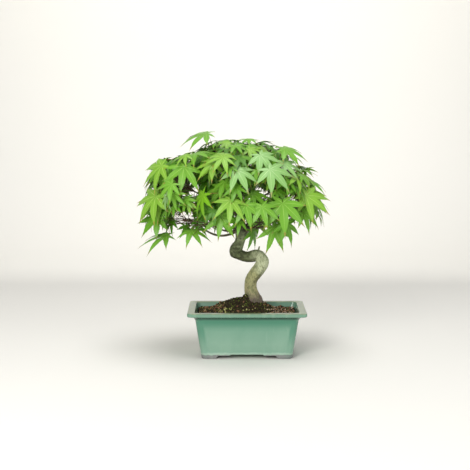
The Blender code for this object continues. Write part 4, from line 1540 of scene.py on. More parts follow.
class Solids:
    """What is already in place, with a quick test for touching it."""

    def __init__(self) -> None:
        """Start with nothing."""
        self.items: list[tuple[Vector, float, BVHTree, str | None]] = []

    @staticmethod
    def ball(points: Sequence[Vector]) -> tuple[Vector, float]:
        """The middle of some points, and the furthest of them from it."""
        middle = sum(points, Vector()) / len(points)
        return middle, max((point - middle).length for point in points)

    def add(self, shape: Shape, owner: str | None = None) -> None:
        """Keep a shape."""
        middle, size = self.ball(shape[0])
        self.items.append((middle, size, BVHTree.FromPolygons(*shape), owner))

    def touches(self, shape: Shape, skip: str | None = None) -> bool:
        """Whether a shape meets anything in place, apart from what one owner holds.

        Args:
            shape: The shape.
            skip: The owner that doesn't count.

        Returns:
            True if they meet.
        """
        middle, size = self.ball(shape[0])
        own = BVHTree.FromPolygons(*shape)
        return any(
            own.overlap(other)
            for other_middle, other_size, other, owner in self.items
            if (owner is None or owner != skip) and (middle - other_middle).length < size + other_size
        )


@dataclass
class Twig:
    """A run of wood: its points, and its radii in the solids."""

    points: Points
    radii: list[float]


@dataclass
class Mass:
    """The foliage of one bough while it grows."""

    limb: Limb
    start: Vector
    course: Vector
    radius: float
    sites: list[Leaf] = field(default_factory=list)
    twigs: list[Twig] = field(default_factory=list)
    leaves: list[Leaf] = field(default_factory=list)


# Joint, heading, facing, size and green of the leaves that stand out on the front
FEATURES = (
    ((-0.063, -0.015, 0.343), -63, 62, 0.95),
    ((-0.12, -0.025, 0.294), -55, 42, 1.16),
    ((-0.095, -0.07, 0.297), -8, 34, 1.04),
    ((-0.051, -0.075, 0.302), -25, 58, 0.86, Tone.BRIGHT),
    ((-0.017, -0.09, 0.29), 20, 48, 1.05, Tone.PALE),
    ((-0.069, -0.095, 0.255), -20, 26, 1.0, Tone.LIME),
    ((-0.132, -0.035, 0.248), -40, 36, 1.2, Tone.BRIGHT),
    ((-0.124, -0.04, 0.194), -48, 64, 1.12),
    ((-0.086, -0.07, 0.206), 4, 48, 1.05),
    ((-0.026, -0.102, 0.25), 0, 40, 0.96),
    ((0.031, -0.085, 0.294), 28, 48, 1.05, Tone.PALE),
    ((0.056, -0.085, 0.25), 3, 27, 1.16),
    ((0.089, -0.04, 0.254), 57, 42, 1.16, Tone.BRIGHT),
    ((0.08, -0.05, 0.228), 40, 42, 1.05),
    ((0.038, -0.075, 0.209), 20, 14, 1.14, Tone.BRIGHT),
    ((0.022, -0.1, 0.241), 6, 28, 0.95),
    ((-0.004, -0.115, 0.245), -3, 38, 0.95, Tone.BRIGHT),
    ((0.056, -0.045, 0.322), 68, 68, 1.05),
    ((0.056, -0.065, 0.302), 80, 52, 0.95, Tone.PALE),
    ((0.0, -0.03, 0.335), 40, 78, 0.9),
)

# The large leaves that are seen whole from the front, as the features above, some swung sideways
HELD = (
    ((-0.062, -0.02, 0.3452), -72, 72, 1.18),
    ((-0.1291, -0.045, 0.2973), -44, 40, 1.2, Tone.BRIGHT, -25),
    ((-0.0937, -0.078, 0.2974), -8, 34, 1.18),
    ((-0.0503, -0.082, 0.3026), -25, 58, 0.98, Tone.BRIGHT),
    ((-0.0158, -0.1, 0.2935), 17, 48, 1.1, Tone.PALE),
    ((0.0069, -0.075, 0.2577), 30, 55, 0.95),
    ((-0.036, -0.075, 0.265), -30, 45, 1.0),
    ((0.0325, -0.094, 0.2941), 34, 46, 1.18, Tone.PALE),
    ((0.0188, -0.075, 0.3145), 24, 50, 1.02, Tone.PALE),
    ((-0.0649, -0.1, 0.257), -25, 24, 1.08, Tone.LIME, -48),
    ((-0.138, -0.05, 0.2515), -30, 36, 1.3, Tone.BRIGHT, -25),
    ((-0.0248, -0.104, 0.2497), -3, 36, 1.06, Tone.BRIGHT),
    ((-0.0028, -0.102, 0.2425), 12, 32, 1.02),
    ((0.0519, -0.09, 0.2443), 3, 30, 1.34),
    ((0.088, -0.06, 0.2528), 50, 42, 1.24, Tone.BRIGHT),
    ((0.0028, -0.01, 0.3372), 0, 80, 0.55),
    ((0.0388, -0.07, 0.2064), 27, 12, 1.14, Tone.FRESH, 12),
    ((-0.1225, -0.045, 0.1912), -62, 74, 1.24),
    ((-0.0843, -0.07, 0.2015), 12, 66, 0.95),
    ((-0.1366, -0.035, 0.2179), -36, 40, 0.98, Tone.DEEP),
    ((-0.039, -0.088, 0.2244), -8, 26, 1.0),
    ((0.0839, -0.06, 0.228), 56, 34, 1.0, Tone.FRESH, 12),
    ((0.0071, -0.045, 0.1985), 24, 12, 0.9, Tone.DEEP, 50),
    ((0.056, -0.075, 0.213), 20, 24, 1.0, Tone.DEEP, 25),
)

# Small dark leaves in the opening at the lower left
SHADE = (
    ((-0.1145, -0.02, 0.2113), -30, 30, 0.66, Tone.SHADED, -30),
    ((-0.0946, -0.02, 0.204), 10, 20, 0.62, Tone.SHADED, 40),
    ((-0.0766, -0.02, 0.2071), 30, 40, 0.66, Tone.SHADED),
    ((-0.1219, -0.02, 0.2261), -60, 30, 0.6, Tone.SHADED, 30),
    ((-0.0693, -0.02, 0.2187), -10, 30, 0.7, Tone.SHADED),
    ((-0.099, 0.02, 0.23), 10, 60, 0.6, Tone.DEEP),
)
HELD_REACH = 0.4
HELD_ROOM = 0.021
HELD_FRONT = 0.012


@dataclass(frozen=True)
class Habit:
    """One round of growth: where its leaves may stand, how many there are, and how they are set.

    A shell has a number of places, its lowest rise, and its nearest and furthest scale. Wobble and
    lean turn a leaf, core is the share of it that is kept clear, low_bias spreads the places, and
    nothing stands further forward than front.
    """

    shells: tuple[Shell, ...]
    limit: int
    tries: int
    wobble: float
    lean: float
    core: float
    low_bias: float = 1.0
    strict: bool = False
    front: float = -1.0


MAIN_HABIT = Habit(
    ((300, -0.08, 0.93, 1.02), (80, 0.0, 0.66, 0.8)), 168, 14, 0.22, 0.0, 1.0, low_bias=1.2, strict=True
)
FILL_HABIT = Habit(
    ((700, 0.06, 0.84, 1.0), (260, 0.1, 0.5, 0.8), (220, 0.7, 0.97, 1.06)), 460, 8, 0.4, 0.8, 0.8
)
BACK_HABIT = Habit(
    ((520, 0.05, 0.88, 1.03), (160, 0.2, 0.62, 0.82)), 190, 10, 0.4, 0.9, 0.66, front=0.01
)


@dataclass
class Growth:
    """The rule that the foliage grows by: first the leaves of the solids, then finer ones between."""

    trunk: Trunk
    seed: int = 27
    fill_seed: int = 5
    fill_sizes: tuple[float, float] = (0.76, 1.0)
    leaves_per_twig: int = 4
    stalk_reach: float = 0.042
    stalk_least: float = 0.012
    stalk_slant: float = 0.36
    stalk_shared: float = 0.22
    loose_shift: float = 0.008
    loose_tilt: float = 0.35
    loose_turn: float = 0.6
    loose_shrink: float = 0.18
    habit: Habit = MAIN_HABIT
    draw: Random = field(default_factory=Random)
    held: list[Leaf] = field(default_factory=list)
    solids: Solids = field(default_factory=Solids)
    masses: list[Mass] = field(default_factory=list)

    def run(self) -> None:
        """Grow the leaves of the solids, hang the large ones, and fill the room with finer ones."""
        self.raise_limbs()
        self.draw = Random(self.seed)
        sites = [self.feature_site(*row) for row in FEATURES] + self.shell_sites()
        for site in sites:
            self.nearest(site.joint).sites.append(site)
        for mass in self.masses:
            self.grow_twigs(mass)
        self.place_leaves(sites)
        self.hold_leaves()
        self.draw = Random(self.fill_seed)
        for habit in (FILL_HABIT, BACK_HABIT):
            self.habit = habit
            sites = [site for site in self.shell_sites() if site.joint.y > habit.front]
            for site in sites:
                site.size *= self.draw.uniform(*self.fill_sizes)
            self.draw.shuffle(sites)
            self.place_leaves(sites)

    def hold_leaves(self) -> None:
        """Drop the leaves that hang where the front is bare or hide the large ones, and hang those."""
        self.held = [self.feature_site(*row) for row in HELD]
        for mass in self.masses:
            kept = [leaf for leaf in mass.leaves if not self.barred(leaf)]
            LOG.info("%s: %d leaves dropped", mass.limb.name, len(mass.leaves) - len(kept))
            mass.leaves = kept
        for leaf in self.held + [self.feature_site(*row) for row in SHADE]:
            leaf.mass = self.nearest(leaf.joint)
            leaf.root = self.stalk_root(leaf, 0)[1]
            leaf.mass.leaves.append(leaf)
            self.solids.add(leaf.blade(0.0), leaf.mass.limb.name)

    def barred(self, leaf: Leaf) -> bool:
        """Whether a leaf would hang where the front is bare, or in front of one of the large ones."""
        seen = self.seen_middle(leaf)
        return CROWN.bare_at(leaf.blade(0.0)[0]) or any(
            (seen - self.seen_middle(site)).length < HELD_ROOM * site.size
            and leaf.joint.y < site.joint.y + HELD_FRONT
            for site in self.held
        )

    @staticmethod
    def seen_middle(leaf: Leaf) -> Vector:
        """Where the middle of a blade is seen on the plane through the trunk."""
        return CROWN.seen(leaf.joint + leaf.heading * LOBE_LENGTH * HELD_REACH * leaf.size)

    def raise_limbs(self) -> None:
        """Set the trunk and boughs in place, and start a mass at each tip."""
        trunk, trunk_radii = self.trunk.path(self.trunk.coarse_step)
        self.solids.add(tube(trunk, [radius + LIMB_ROOM for radius in trunk_radii], 12))
        for limb in LIMBS:
            points, radii, before = trunk, trunk_radii, trunk[-3]
            if limb.name != CROWN_LEADER:
                points, radii = self.trunk.bough(limb, trunk)
                before = points[-2]
                self.solids.add(tube(points, [radius + LIMB_ROOM for radius in radii], 7))
            self.masses.append(Mass(limb, points[-1], (points[-1] - before).normalized(), radii[-1]))

    def nearest(self, joint: Vector) -> Mass:
        """The mass whose space a leaf stands in."""
        return min(self.masses, key=lambda mass: (CROWN.middle_of(mass.limb) - joint).length)

    def feature_site(
        self, joint: Triple, heading: float, facing: float, size: float,
        tone: Tone = Tone.FRESH, swing: float = 0.0,
    ) -> Leaf:
        """A leaf that stands out on the front.

        Args:
            joint: Where its lobes meet.
            heading: Way of its middle lobe in degrees, 0 down and 90 to the right.
            facing: Way that it looks in degrees, 0 at the front and 90 up.
            size: Share of a full leaf.
            tone: Its green.
            swing: Degrees that it is then turned round a plumb line, to the right where positive.

        Returns:
            The site.
        """
        turn, lift = radians(heading), radians(facing)
        sideways = sin(turn) * 0.35 * cos(lift)
        look = Vector((sideways, -cos(lift), sin(lift))).normalized()
        lobe = along_blade(Vector((sin(turn), 0, -cos(turn))), look)
        aside = Matrix.Rotation(radians(swing), 3, "Z")
        return Leaf(Vector(joint), aside @ lobe, aside @ look, size, True, tone)

    def dome_site(self, direction: Vector, scale: float) -> Leaf:
        """A leaf on the dome, facing out and up, its lobes hanging outwards.

        Args:
            direction: Where it stands, from the dome's middle.
            scale: How far out, 1 on the dome.

        Returns:
            The site.
        """
        joint, outward = CROWN.point(direction, scale)
        jitter = random_vector(self.draw)
        level = Vector((outward.x, outward.y, 0))
        if level.length < 0.05:
            level = Vector((jitter.x, jitter.y, 0))
        forward = 1.5 * smooth_step(0.4, -0.3, outward.y) - 0.5
        lean = level.normalized() * self.habit.lean * outward.z * forward
        look = outward * 0.75 + Vector((0, 0, 0.62)) + jitter * self.habit.wobble + lean
        look.normalize()
        lobe = along_blade(level.normalized() * 0.7 - UP, look)
        lobe.rotate(Matrix.Rotation(self.draw.uniform(-0.7, 0.7), 3, look))
        return Leaf(joint, lobe, look, self.draw.uniform(0.74, 1.04))

    def shell_sites(self) -> list[Leaf]:
        """Places spread evenly over the shells of this round, each shell in random order.

        Returns:
            The sites.
        """
        golden = pi * (3 - sqrt(5))
        sites = []
        for count, low, near, far in self.habit.shells:
            shell = []
            for index in range(count):
                rise = low + (1 - low) * ((index + 0.5) / count) ** self.habit.low_bias
                level = sqrt(1 - rise * rise)
                angle = index * golden
                direction = Vector((level * cos(angle), level * sin(angle), rise))
                shell.append(self.dome_site(direction, self.draw.uniform(near, far)))
            self.draw.shuffle(shell)
            sites += shell
        return sites

    def grow_twigs(self, mass: Mass) -> None:
        """The stem of a mass, and a twig from it to each group of leaves.

        Args:
            mass: The mass.
        """
        begin = mass.start + mass.course * SEAT_GAP
        reach = (CROWN.middle_of(mass.limb) - begin).dot(mass.course) * 0.8
        end = begin + mass.course * max(0.012, reach)
        radii = [mass.radius, mass.radius * 0.9, mass.radius * 0.75]
        mass.twigs.append(Twig([begin, begin.lerp(end, 0.5), end], radii))
        side = mass.course.orthogonal().normalized()
        across = mass.course.cross(side)
        ring = sorted(
            mass.sites,
            key=lambda site: atan2((site.joint - begin).dot(across), (site.joint - begin).dot(side)),
        )
        groups = max(1, round(len(ring) / self.leaves_per_twig))
        for group in range(groups):
            members = ring[group * len(ring) // groups : (group + 1) * len(ring) // groups]
            if members:
                self.grow_twig(mass, members, begin.lerp(end, 0.25 + 0.65 * ((group * 3) % groups) / groups))
        for index, twig in enumerate(mass.twigs):
            room = [radius + LEAF_ROOM for radius in twig.radii]
            self.solids.add(tube(twig.points, room, 3 if index else 5), mass.limb.name)

    def grow_twig(self, mass: Mass, members: list[Leaf], root: Vector) -> None:
        """One twig towards a group of leaves, unless it would touch a limb.

        Args:
            mass: The mass that it belongs to.
            members: The places of the leaves.
            root: Where it leaves the stem.
        """
        centre = sum((site.joint for site in members), Vector()) / len(members)
        run = centre - root
        tip = root + run * max(0.45, 1 - 0.02 / run.length)
        middle = root.lerp(tip, 0.5) + mass.course * (tip - root).length * 0.1
        points = [root, root.lerp(middle, 0.9), middle.lerp(tip, 0.55), tip]
        radii = tapered(4, 0.0016, 0.0012)
        room = tube([root.lerp(tip, 0.2), *points[1:]], [radius + LEAF_ROOM for radius in radii], 3)
        if not self.solids.touches(room, mass.limb.name):
            mass.twigs.append(Twig(points, radii))

    def stalk_root(self, site: Leaf, turn: int) -> tuple[float, Vector] | None:
        """Where a leaf's stalk leaves its twig.

        Args:
            site: The leaf's place.
            turn: Which of the nearest spots is taken.

        Returns:
            How far off the spot is, and the spot, or None where there is none.
        """
        options = []
        for index, twig in enumerate(site.mass.twigs):
            for piece in range(1 if index == 0 else 0, len(twig.points) - 1):
                for share in (0.35, 0.6, 0.85):
                    spot = twig.points[piece].lerp(twig.points[piece + 1], share)
                    distance = (spot - site.joint).length
                    if distance > self.stalk_least:
                        options.append((distance, spot))
        options.sort(key=lambda option: option[0])
        return options[turn % min(5, len(options))] if options else None

    def shifted_leaf(self, site: Leaf, root: Vector, loose: float) -> Leaf | None:
        """A leaf at a site, shifted and turned, on a stalk that fits.

        Args:
            site: The place.
            root: Where its stalk starts.
            loose: The share of what it may shift and turn.

        Returns:
            The leaf, or None where the stalk would meet the blade too flat.
        """
        shift = random_vector(self.draw) * self.loose_shift * loose
        look = (site.facing + random_vector(self.draw) * self.loose_tilt * loose).normalized()
        lobe = along_blade(site.heading, look)
        turn = self.draw.uniform(-self.loose_turn, self.loose_turn) * loose
        lobe.rotate(Matrix.Rotation(turn, 3, look))
        joint = site.joint + shift
        stalk = (joint - root).normalized()
        if stalk.dot(look) < self.stalk_slant:
            look = (look + stalk * 0.5).normalized()
            lobe = along_blade(lobe, look)
        if stalk.dot(look) < self.stalk_slant:
            return None
        size = site.size * (1 - self.loose_shrink * loose)
        return Leaf(joint, lobe, look, size, site.feature, site.tone, site.mass, root)

    def fits(self, leaf: Leaf) -> bool:
        """Whether a leaf is clear of everything but its own twig, and leaves the openings open.

        Args:
            leaf: The leaf.

        Returns:
            True if it is.
        """
        if not self.habit.strict:
            core = leaf.blade(0.0, self.habit.core)
            return not self.barred(leaf) and not CROWN.open_at(core[0], 0.7) and not self.solids.touches(core)
        blade = leaf.blade(LEAF_ROOM)
        if not leaf.feature and CROWN.open_at(blade[0]):
            return False
        if self.solids.touches(blade) or self.solids.touches(leaf.stalk_room(0.0), leaf.mass.limb.name):
            return False
        return not self.solids.touches(leaf.stalk_room(self.stalk_shared))

    def fit_leaf(self, site: Leaf) -> Leaf | None:
        """Turn and shift a leaf until it fits, or give it up.

        Args:
            site: The place.

        Returns:
            The leaf, or None.
        """
        reach = self.stalk_reach * (1.6 if site.feature else 1.0)
        for attempt in range(self.habit.tries):
            loose = attempt / self.habit.tries * (0.5 if site.feature else 1.0)
            found = self.stalk_root(site, attempt // 2)
            if not found or found[0] > reach:
                return None
            leaf = self.shifted_leaf(site, found[1], loose)
            if leaf and self.fits(leaf):
                return leaf
        return None

    def place_leaves(self, sites: list[Leaf]) -> None:
        """Grow leaves at the sites, in their order, until there are enough.

        Args:
            sites: The places.
        """
        grown = 0
        for site in sites:
            if grown >= self.habit.limit:
                break
            site.mass = self.nearest(site.joint)
            leaf = self.fit_leaf(site)
            if not leaf:
                continue
            grown += 1
            leaf.tone = leaf.tone or self.tone_of(leaf)
            leaf.mass.leaves.append(leaf)
            if self.habit.strict:
                self.solids.add(leaf.blade(LEAF_ROOM), leaf.mass.limb.name)
                self.solids.add(leaf.stalk_room(0.0), leaf.mass.limb.name)
            else:
                self.solids.add(leaf.blade(0.0, self.habit.core), leaf.mass.limb.name)
        LOG.info("leaves grown: %d", grown)

    def tone_of(self, leaf: Leaf) -> Tone:
        """The green of a leaf: darker inside and below as painted shade, dealt out by its place.

        Args:
            leaf: The leaf.

        Returns:
            The green.
        """
        offset = leaf.joint - CROWN.middle
        shares = (offset.x / CROWN.half_width, offset.y / CROWN.half_depth, offset.z / CROWN.rise)
        depth = sqrt(shares[0] ** 2 + shares[1] ** 2 + shares[2] ** 2)
        pick = Random(round(leaf.joint.x * 1e5) * 31 + round(leaf.joint.z * 1e5)).random()
        # Leaves inside the crown get the greens of painted shade
        if depth < 0.82:
            return Tone.SHADED if pick < 0.65 else Tone.DEEP
        odds = ((0.12, Tone.SHADED), (0.38, Tone.DEEP), (0.72, Tone.FRESH), (0.9, Tone.BRIGHT))
        return next((tone for share, tone in odds if pick < share), Tone.PALE)


# Leaves


@dataclass
class LeafShape:
    """The finely cut blade of a leaf, flat at its joint and drooping to its toothed lobes."""

    draw: Random
    notch: float = 0.36
    steps: int = 9
    fold: float = 0.2
    thickness: float = 0.00028
    vein: float = 0.008
    tooth: float = 0.008
    spread: float = 1.1
    droop: float = 1.4
    side_angle: float = 38
    side_reach: float = 0.1
    tooth_back: float = 0.012
    tip_faces: int = 2
    weld: float = 2e-6
    profile: tuple[tuple[float, float], ...] = (
        (0.0, 0.108), (0.12, 0.122), (0.25, 0.126), (0.4, 0.112), (0.55, 0.082),
        (0.7, 0.042), (0.82, 0.02), (0.92, 0.009), (1.0, 0.0),
    )

    def __post_init__(self) -> None:
        """Draw how this leaf differs from the others."""
        lobes = []
        for angle, share in zip(LOBE_ANGLES, LOBE_SHARES):
            for sign in (1, -1) if angle else (1,):
                lobes.append((
                    sign * angle * self.spread + self.draw.uniform(-3, 3),
                    share * self.draw.uniform(0.95, 1.03),
                    self.draw.uniform(0.85, 1.35),
                    self.draw.uniform(-0.1, 0.1),
                ))
        self.lobes = sorted(lobes)
        self.breadth = self.draw.uniform(0.84, 1.12)

    def width_at(self, share: float) -> float:
        """Half width of a lobe at a share of its length, and as a share of it."""
        (low, start), (high, end) = next(p for p in zip(self.profile, self.profile[1:]) if share <= p[1][0])
        return self.breadth * (start + (end - start) * (share - low) / (high - low))

    def edge(self, index: int, other: int, axis: Vector, outward: Vector, length: float) -> Points:
        """One toothed edge of a lobe, from the notch beside it to its tip.

        Args:
            index: The lobe.
            other: The lobe beside it, where there is one.
            axis: The way that it points.
            outward: The way from its middle to this edge.
            length: Its length.

        Returns:
            The points.
        """
        if 0 <= other < len(self.lobes):
            half = radians(abs(self.lobes[other][0] - self.lobes[index][0]) / 2)
            share = sqrt(self.lobes[other][1] * self.lobes[index][1])
            reach = LOBE_LENGTH * self.notch * share
        else:
            half, reach = radians(self.side_angle), LOBE_LENGTH * self.side_reach
        start = axis * reach * cos(half) + outward * reach * sin(half)
        points = [start]
        first = start.dot(axis)
        for step in range(1, self.steps):
            share = step / self.steps
            along = first + (length - first) * share
            fade = max(0.0, 1 - share * 5)
            width = self.width_at(share) * length * (1 - fade) + start.dot(outward) * fade
            if step % 2:
                width += self.tooth * length * (1 - share)
            else:
                along -= self.tooth_back * length
            points.append(axis * along + outward * width)
        points.append(axis * length)
        return points

    def bent(self, point: Vector, droop: float) -> Vector:
        """A flat point let down along its lobe, which hangs more or less than others."""
        share = point.length / LOBE_LENGTH
        return point - UP * (self.droop * LEAF_DROOP * LOBE_LENGTH * share**2 * (1 + (droop - 1) * share))

    def build(self, name: str) -> Object:
        """The leaf as a closed mesh whose faces know whether they are blade, vein or tip.

        Args:
            name: The object's name.

        Returns:
            The object, linked to no collection.
        """
        self.shape = bmesh.new()
        self.part = self.shape.faces.layers.int.new("part")
        for index in range(len(self.lobes)):
            self.add_lobe(index)
        bmesh.ops.remove_doubles(self.shape, verts=self.shape.verts, dist=self.weld)
        bmesh.ops.recalc_face_normals(self.shape, faces=self.shape.faces)
        mesh = bpy.data.meshes.new(name)
        self.shape.to_mesh(mesh)
        self.shape.free()
        return bpy.data.objects.new(name, mesh)

    def add_lobe(self, index: int) -> None:
        """Add one lobe: two halves and the vein between them on top, and two halves below.

        Args:
            index: The lobe, counted round from the left.
        """
        angle, share, droop, twist = self.lobes[index]
        axis = Vector((cos(radians(angle)), -sin(radians(angle)), 0))
        across = Vector((-axis.y, axis.x, 0))
        length = LOBE_LENGTH * share
        rib = [self.bent(axis * length * (step / self.steps) ** 0.9, droop) for step in range(self.steps + 1)]
        vein = [self.vein * LOBE_LENGTH * (1 - step / self.steps) for step in range(self.steps + 1)]
        vein[0] = 0.0
        lift = UP * self.thickness
        below = [*(point - lift for point in rib[:-1]), rib[-1]]
        lines = []
        for sign in (-1, 1):
            fold = Vector((0, 0, self.fold)) + Vector((0, 0, twist * sign))
            flat = self.edge(index, index - sign, axis, across * sign, length)
            edge = [self.bent(point, droop) + abs(point.dot(across)) * fold for point in flat]
            line = [point + lift + across * vein[step] * sign for step, point in enumerate(rib)]
            line[-1] = rib[-1]
            lines.append(line)
            self.strip(line, edge, sign < 0)
            self.strip(below, edge, sign > 0)
        self.strip(*lines, False, 1)

    def strip(self, first: Points, second: Points, flip: bool, kind: int = 0) -> None:
        """Faces between two lines of points.

        Args:
            first: One line.
            second: The other.
            flip: Whether the faces turn the other way.
            kind: The faces' part, where they aren't the blade and its tip.
        """
        for step in range(self.steps):
            corners = [first[step], first[step + 1], second[step + 1], second[step]]
            kept = [p for i, p in enumerate(corners) if all((p - q).length > self.weld for q in corners[:i])]
            if len(kept) < 3:
                continue
            if flip:
                kept.reverse()
            face = self.shape.faces.new([self.shape.verts.new(point) for point in kept])
            face[self.part] = kind or (2 if step >= self.steps - self.tip_faces else 0)


class LeafTree(GrowTree):
    """Geometry Nodes that set a leaf on each point and paint its blade, veins and tips."""

    PARTS = ("Blade", "Vein", "Tip")

    def __init__(self) -> None:
        """Build the tree."""
        super().__init__("set_leaves", **{name: "Material" for name in self.PARTS})
        kind, turn = self.stored("kind", "INT"), self.stored("turn", "FLOAT_VECTOR")
        flow = self.set_shapes(self.given["Geometry"], kind, turn, self.stored("size", "FLOAT"))
        part = self.stored("part", "INT")
        for index, name in enumerate(self.PARTS):
            same = self.add("FunctionNodeCompare", {2: part, 3: index}, data_type="INT", operation="EQUAL")
            inputs = {0: flow, "Selection": same.outputs[0], "Material": self.given[name]}
            flow = self.add("GeometryNodeSetMaterial", inputs).outputs[0]
        self.add("NodeGroupOutput", {0: flow})


@dataclass
class Foliage:
    """The leaves, their stalks and the twigs that carry them, each kind joined apart."""

    growth: Growth
    variants: int = 7
    seed: int = 41
    stem: tuple[float, float] = (1.02, 0.55)
    twig: tuple[float, float] = (0.000792, 0.00038)
    stalk: tuple[float, float] = (0.00038, 0.0003)
    curve_step: float = 0.004
    twig_bend: float = 0.07
    shoots: int = 3
    shoot: tuple[float, float] = (0.00045, 0.00022)
    shoot_length: tuple[float, float] = (0.01, 0.026)
    shoot_spread: float = 0.9
    shoot_bend: float = 0.15
    draw: Random = field(default_factory=Random)
    twigs: Heap = field(default_factory=Heap)

    @property
    def nodes(self) -> list[str]:
        """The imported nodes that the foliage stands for."""
        return [f"foliage_{limb.name}" for limb in LIMBS]

    def build(self) -> None:
        """Build the leaves of each green, then twigs and stalks."""
        self.draw = Random(self.seed)
        shapes = bpy.data.collections.new("leaf_shapes")
        for index in range(self.variants):
            shapes.objects.link(LeafShape(self.draw).build(f"leaf_shape_{index}"))
        tree = LeafTree()
        leaves = [leaf for mass in self.growth.masses for leaf in mass.leaves]
        for tone in Tone:
            chosen = [leaf for leaf in leaves if leaf.tone is tone]
            if chosen:
                settings = {"Shapes": shapes, **dict(zip(LeafTree.PARTS, tone.materials()))}
                made = tree.run(f"leaves_{tone.value[0]}", self.leaf_points(chosen), settings)
                hand_over(made, self.nodes, 24)
        bpy.data.batch_remove([*shapes.objects, shapes])
        self.build_twigs()
        self.build_stalks(leaves)

    def leaf_points(self, leaves: list[Leaf]) -> Mesh:
        """A point for each leaf, with how it is turned, its size and which shape it has.

        Args:
            leaves: The leaves.

        Returns:
            The points.
        """
        turns, sizes, kinds = [], [], []
        for leaf in leaves:
            axes = Matrix((leaf.heading, leaf.facing.cross(leaf.heading), leaf.facing)).transposed()
            turns += list(axes.to_euler())
            sizes.append(leaf.size)
            kinds.append(self.draw.randrange(self.variants))
        mesh = bpy.data.meshes.new("leaf_points")
        mesh.from_pydata([leaf.joint for leaf in leaves], [], [])
        store(mesh, "turn", turns, "FLOAT_VECTOR")
        store(mesh, "size", sizes)
        store(mesh, "kind", kinds, "INT")
        return mesh

    def build_twigs(self) -> None:
        """Build the stems, the twigs to each group of leaves, and the side shoots."""
        self.draw = Random(self.seed + 1)
        for mass in self.growth.masses:
            for index, twig in enumerate(mass.twigs):
                if index == 0:
                    pulls = [twig.points[0] - mass.course * 0.004, *twig.points[1:]]
                    radii = tapered(3, *(mass.radius * share for share in self.stem))
                else:
                    pulls = self.wavy(twig.points)
                    radii = tapered(len(pulls), *self.twig)
                path = [Vector((*point, radius)) for point, radius in zip(pulls, radii)]
                smooth = spline(path, self.curve_step)
                self.twigs.add(tube([s.xyz for s in smooth], [s.w for s in smooth], 8 if index == 0 else 6))
            for leaf in mass.leaves:
                path = leaf.stalk_path()
                count = max(2, len(path) // 3)
                radii = tapered(count + 1, self.twig[1], self.stalk[0])
                self.twigs.add(tube(path[: count + 1], radii, 5))
            self.add_shoots(mass)
        bark = BarkFinish("twig_bark", ((0.0, srgb(78, 56, 44)), (0.03, srgb(108, 86, 66))))
        hand_over(self.twigs.piece("fine_twigs", bark.material()), self.nodes, 60)

    def wavy(self, points: Points) -> Points:
        """A twig's points, with small bends between its ends.

        Args:
            points: The points.

        Returns:
            The points with more between them.
        """
        pulls = [points[0]]
        for start, end in zip(points, points[1:]):
            bend = random_vector(self.draw) * (end - start).length * self.twig_bend
            pulls += [start.lerp(end, 0.5) + bend, end]
        return pulls

    def add_shoots(self, mass: Mass) -> None:
        """Bare side shoots that fork off the twigs inside the crown.

        Args:
            mass: The mass of foliage.
        """
        for twig in mass.twigs[1:]:
            for _ in range(self.shoots):
                spot = twig.points[1].lerp(twig.points[2], self.draw.random())
                way = (twig.points[-1] - twig.points[0]).normalized()
                way += random_vector(self.draw) * self.shoot_spread
                way.normalize()
                length = self.draw.uniform(*self.shoot_length)
                bend = random_vector(self.draw) * length * self.shoot_bend
                path = spline([spot, spot + way * length * 0.5 + bend, spot + way * length], 0.006)
                self.twigs.add(tube(path, tapered(len(path), *self.shoot), 4))

    def build_stalks(self, leaves: list[Leaf]) -> None:
        """Build the slender stalks from the twigs to the blades.

        Args:
            leaves: The leaves.
        """
        heap = Heap()
        for leaf in leaves:
            path = leaf.stalk_path()
            first = max(1, len(path) // 3)
            heap.add(tube(path[first:], tapered(len(path) - first, *self.stalk), 5))
        finish = LeafFinish("red_stalk", srgb(142, 84, 56), 0.45)
        hand_over(heap.piece("leaf_stalks", finish.material()), self.nodes, 60)


# Studio


@dataclass(frozen=True)
class Lamp:
    """A soft square lamp: its place, side, watts and colour, what it looks at, and if it glints."""

    name: str
    place: Triple
    size: float
    power: float
    colour: Colour
    target: Triple = (0.0, 0.0, 0.18)
    glints: bool = True

    def build(self) -> None:
        """Hang the lamp."""
        lamp = bpy.data.lights.new(self.name, "AREA")
        lamp.shape = "SQUARE"
        lamp.size = self.size
        lamp.energy = self.power
        lamp.color = self.colour
        made = bpy.data.objects.new(self.name, lamp)
        made.location = POT_MIDDLE + Vector(self.place)
        aim = POT_MIDDLE + Vector(self.target) - made.location
        made.rotation_euler = aim.to_track_quat("-Z", "Y").to_euler()
        made.visible_glossy = self.glints
        bpy.context.scene.collection.objects.link(made)


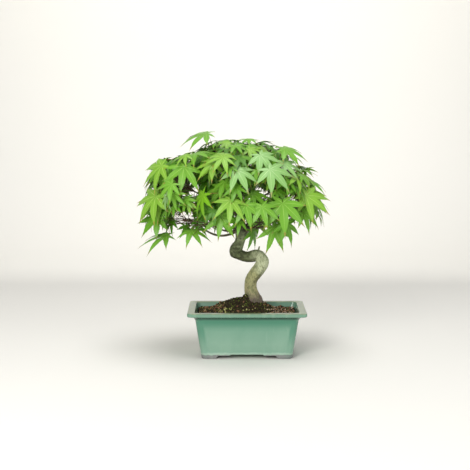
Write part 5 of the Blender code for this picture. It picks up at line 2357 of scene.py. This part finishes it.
@dataclass
class Studio:
    """A pale floor that curves up to a backdrop, soft lights and the camera."""

    floor_colour: Colour = srgb(240, 238, 232)
    pitch: float = 5.99
    lens: float = 90.15
    sensor: float = 36.0
    floor_front: float = -3.0
    bend_start: float = 1.2
    bend_radius: float = 0.8
    bend_steps: int = 12
    wall_top: float = 3.2
    half_width: float = 4.0
    air_colour: Colour = (0.95, 0.97, 1.0)
    air_light: float = 0.28
    lamps: tuple[Lamp, ...] = (
        Lamp("key", (-0.7, -1.7, 0.85), 0.8, 24.0, (1.0, 0.98, 0.95)),
        Lamp("fill", (1.3, -1.3, 0.5), 1.2, 9.0, (0.96, 0.98, 1.0)),
        Lamp("top", (0.0, -0.2, 1.7), 1.0, 15.0, (1.0, 1.0, 1.0)),
        Lamp("wall", (0.0, 0.9, 1.2), 1.6, 12.0, (1.0, 0.99, 0.96), (0.0, 2.4, 1.0), False),
    )

    def build(self) -> None:
        """Build the floor, the lights and the camera."""
        self.build_floor()
        for lamp in self.lamps:
            lamp.build()
        world = bpy.data.worlds.new("soft_room")
        world.use_nodes = True
        air = world.node_tree.nodes["Background"].inputs
        air["Color"].default_value = (*self.air_colour, 1.0)
        air["Strength"].default_value = self.air_light
        bpy.context.scene.world = world
        bpy.context.scene.view_settings.view_transform = "Standard"
        self.add_camera()

    def build_floor(self) -> None:
        """A sweep of paper: flat under the pot, then curving up behind it."""
        start, radius = self.bend_start, self.bend_radius
        turns = [pi / 2 * step / self.bend_steps for step in range(1, self.bend_steps + 1)]
        bend = [(start + radius * sin(turn), radius - radius * cos(turn)) for turn in turns]
        profile = [(self.floor_front, 0.0), (start, 0.0), *bend, (start + radius, self.wall_top)]
        points = [(x, y, z) for y, z in profile for x in (-self.half_width, self.half_width)]
        faces = [(2 * i, 2 * i + 1, 2 * i + 3, 2 * i + 2) for i in range(len(profile) - 1)]
        mesh = bpy.data.meshes.new("studio_sweep")
        mesh.from_pydata(points, [], faces)
        mesh.shade_smooth()
        paper = Surface("studio_paper", self.floor_colour, 0.9, Specular_IOR_Level=0.1)
        floor = add_object("studio_sweep", mesh, paper.material)

    def add_camera(self) -> None:
        """The camera, as far and as high as the photograph's."""
        camera = bpy.data.cameras.new("camera")
        camera.lens = self.lens
        camera.sensor_width = self.sensor
        camera.clip_end = 50.0
        made = bpy.data.objects.new("camera", camera)
        made.location = POT_MIDDLE + VIEW_POINT
        made.rotation_euler = (radians(90 - self.pitch), 0.0, 0.0)
        bpy.context.scene.collection.objects.link(made)
        bpy.context.scene.camera = made


def main() -> None:
    """Build the pot, the soil, the tree and the studio."""
    logging.basicConfig(level=logging.INFO, format="%(name)s: %(message)s")
    pot = Pot()
    pot.build()
    Soil(pot).build()
    trunk = Trunk()
    trunk.build()
    growth = Growth(trunk)
    growth.run()
    Foliage(growth).build()
    Studio().build()


if __name__ == "__main__":
    main()
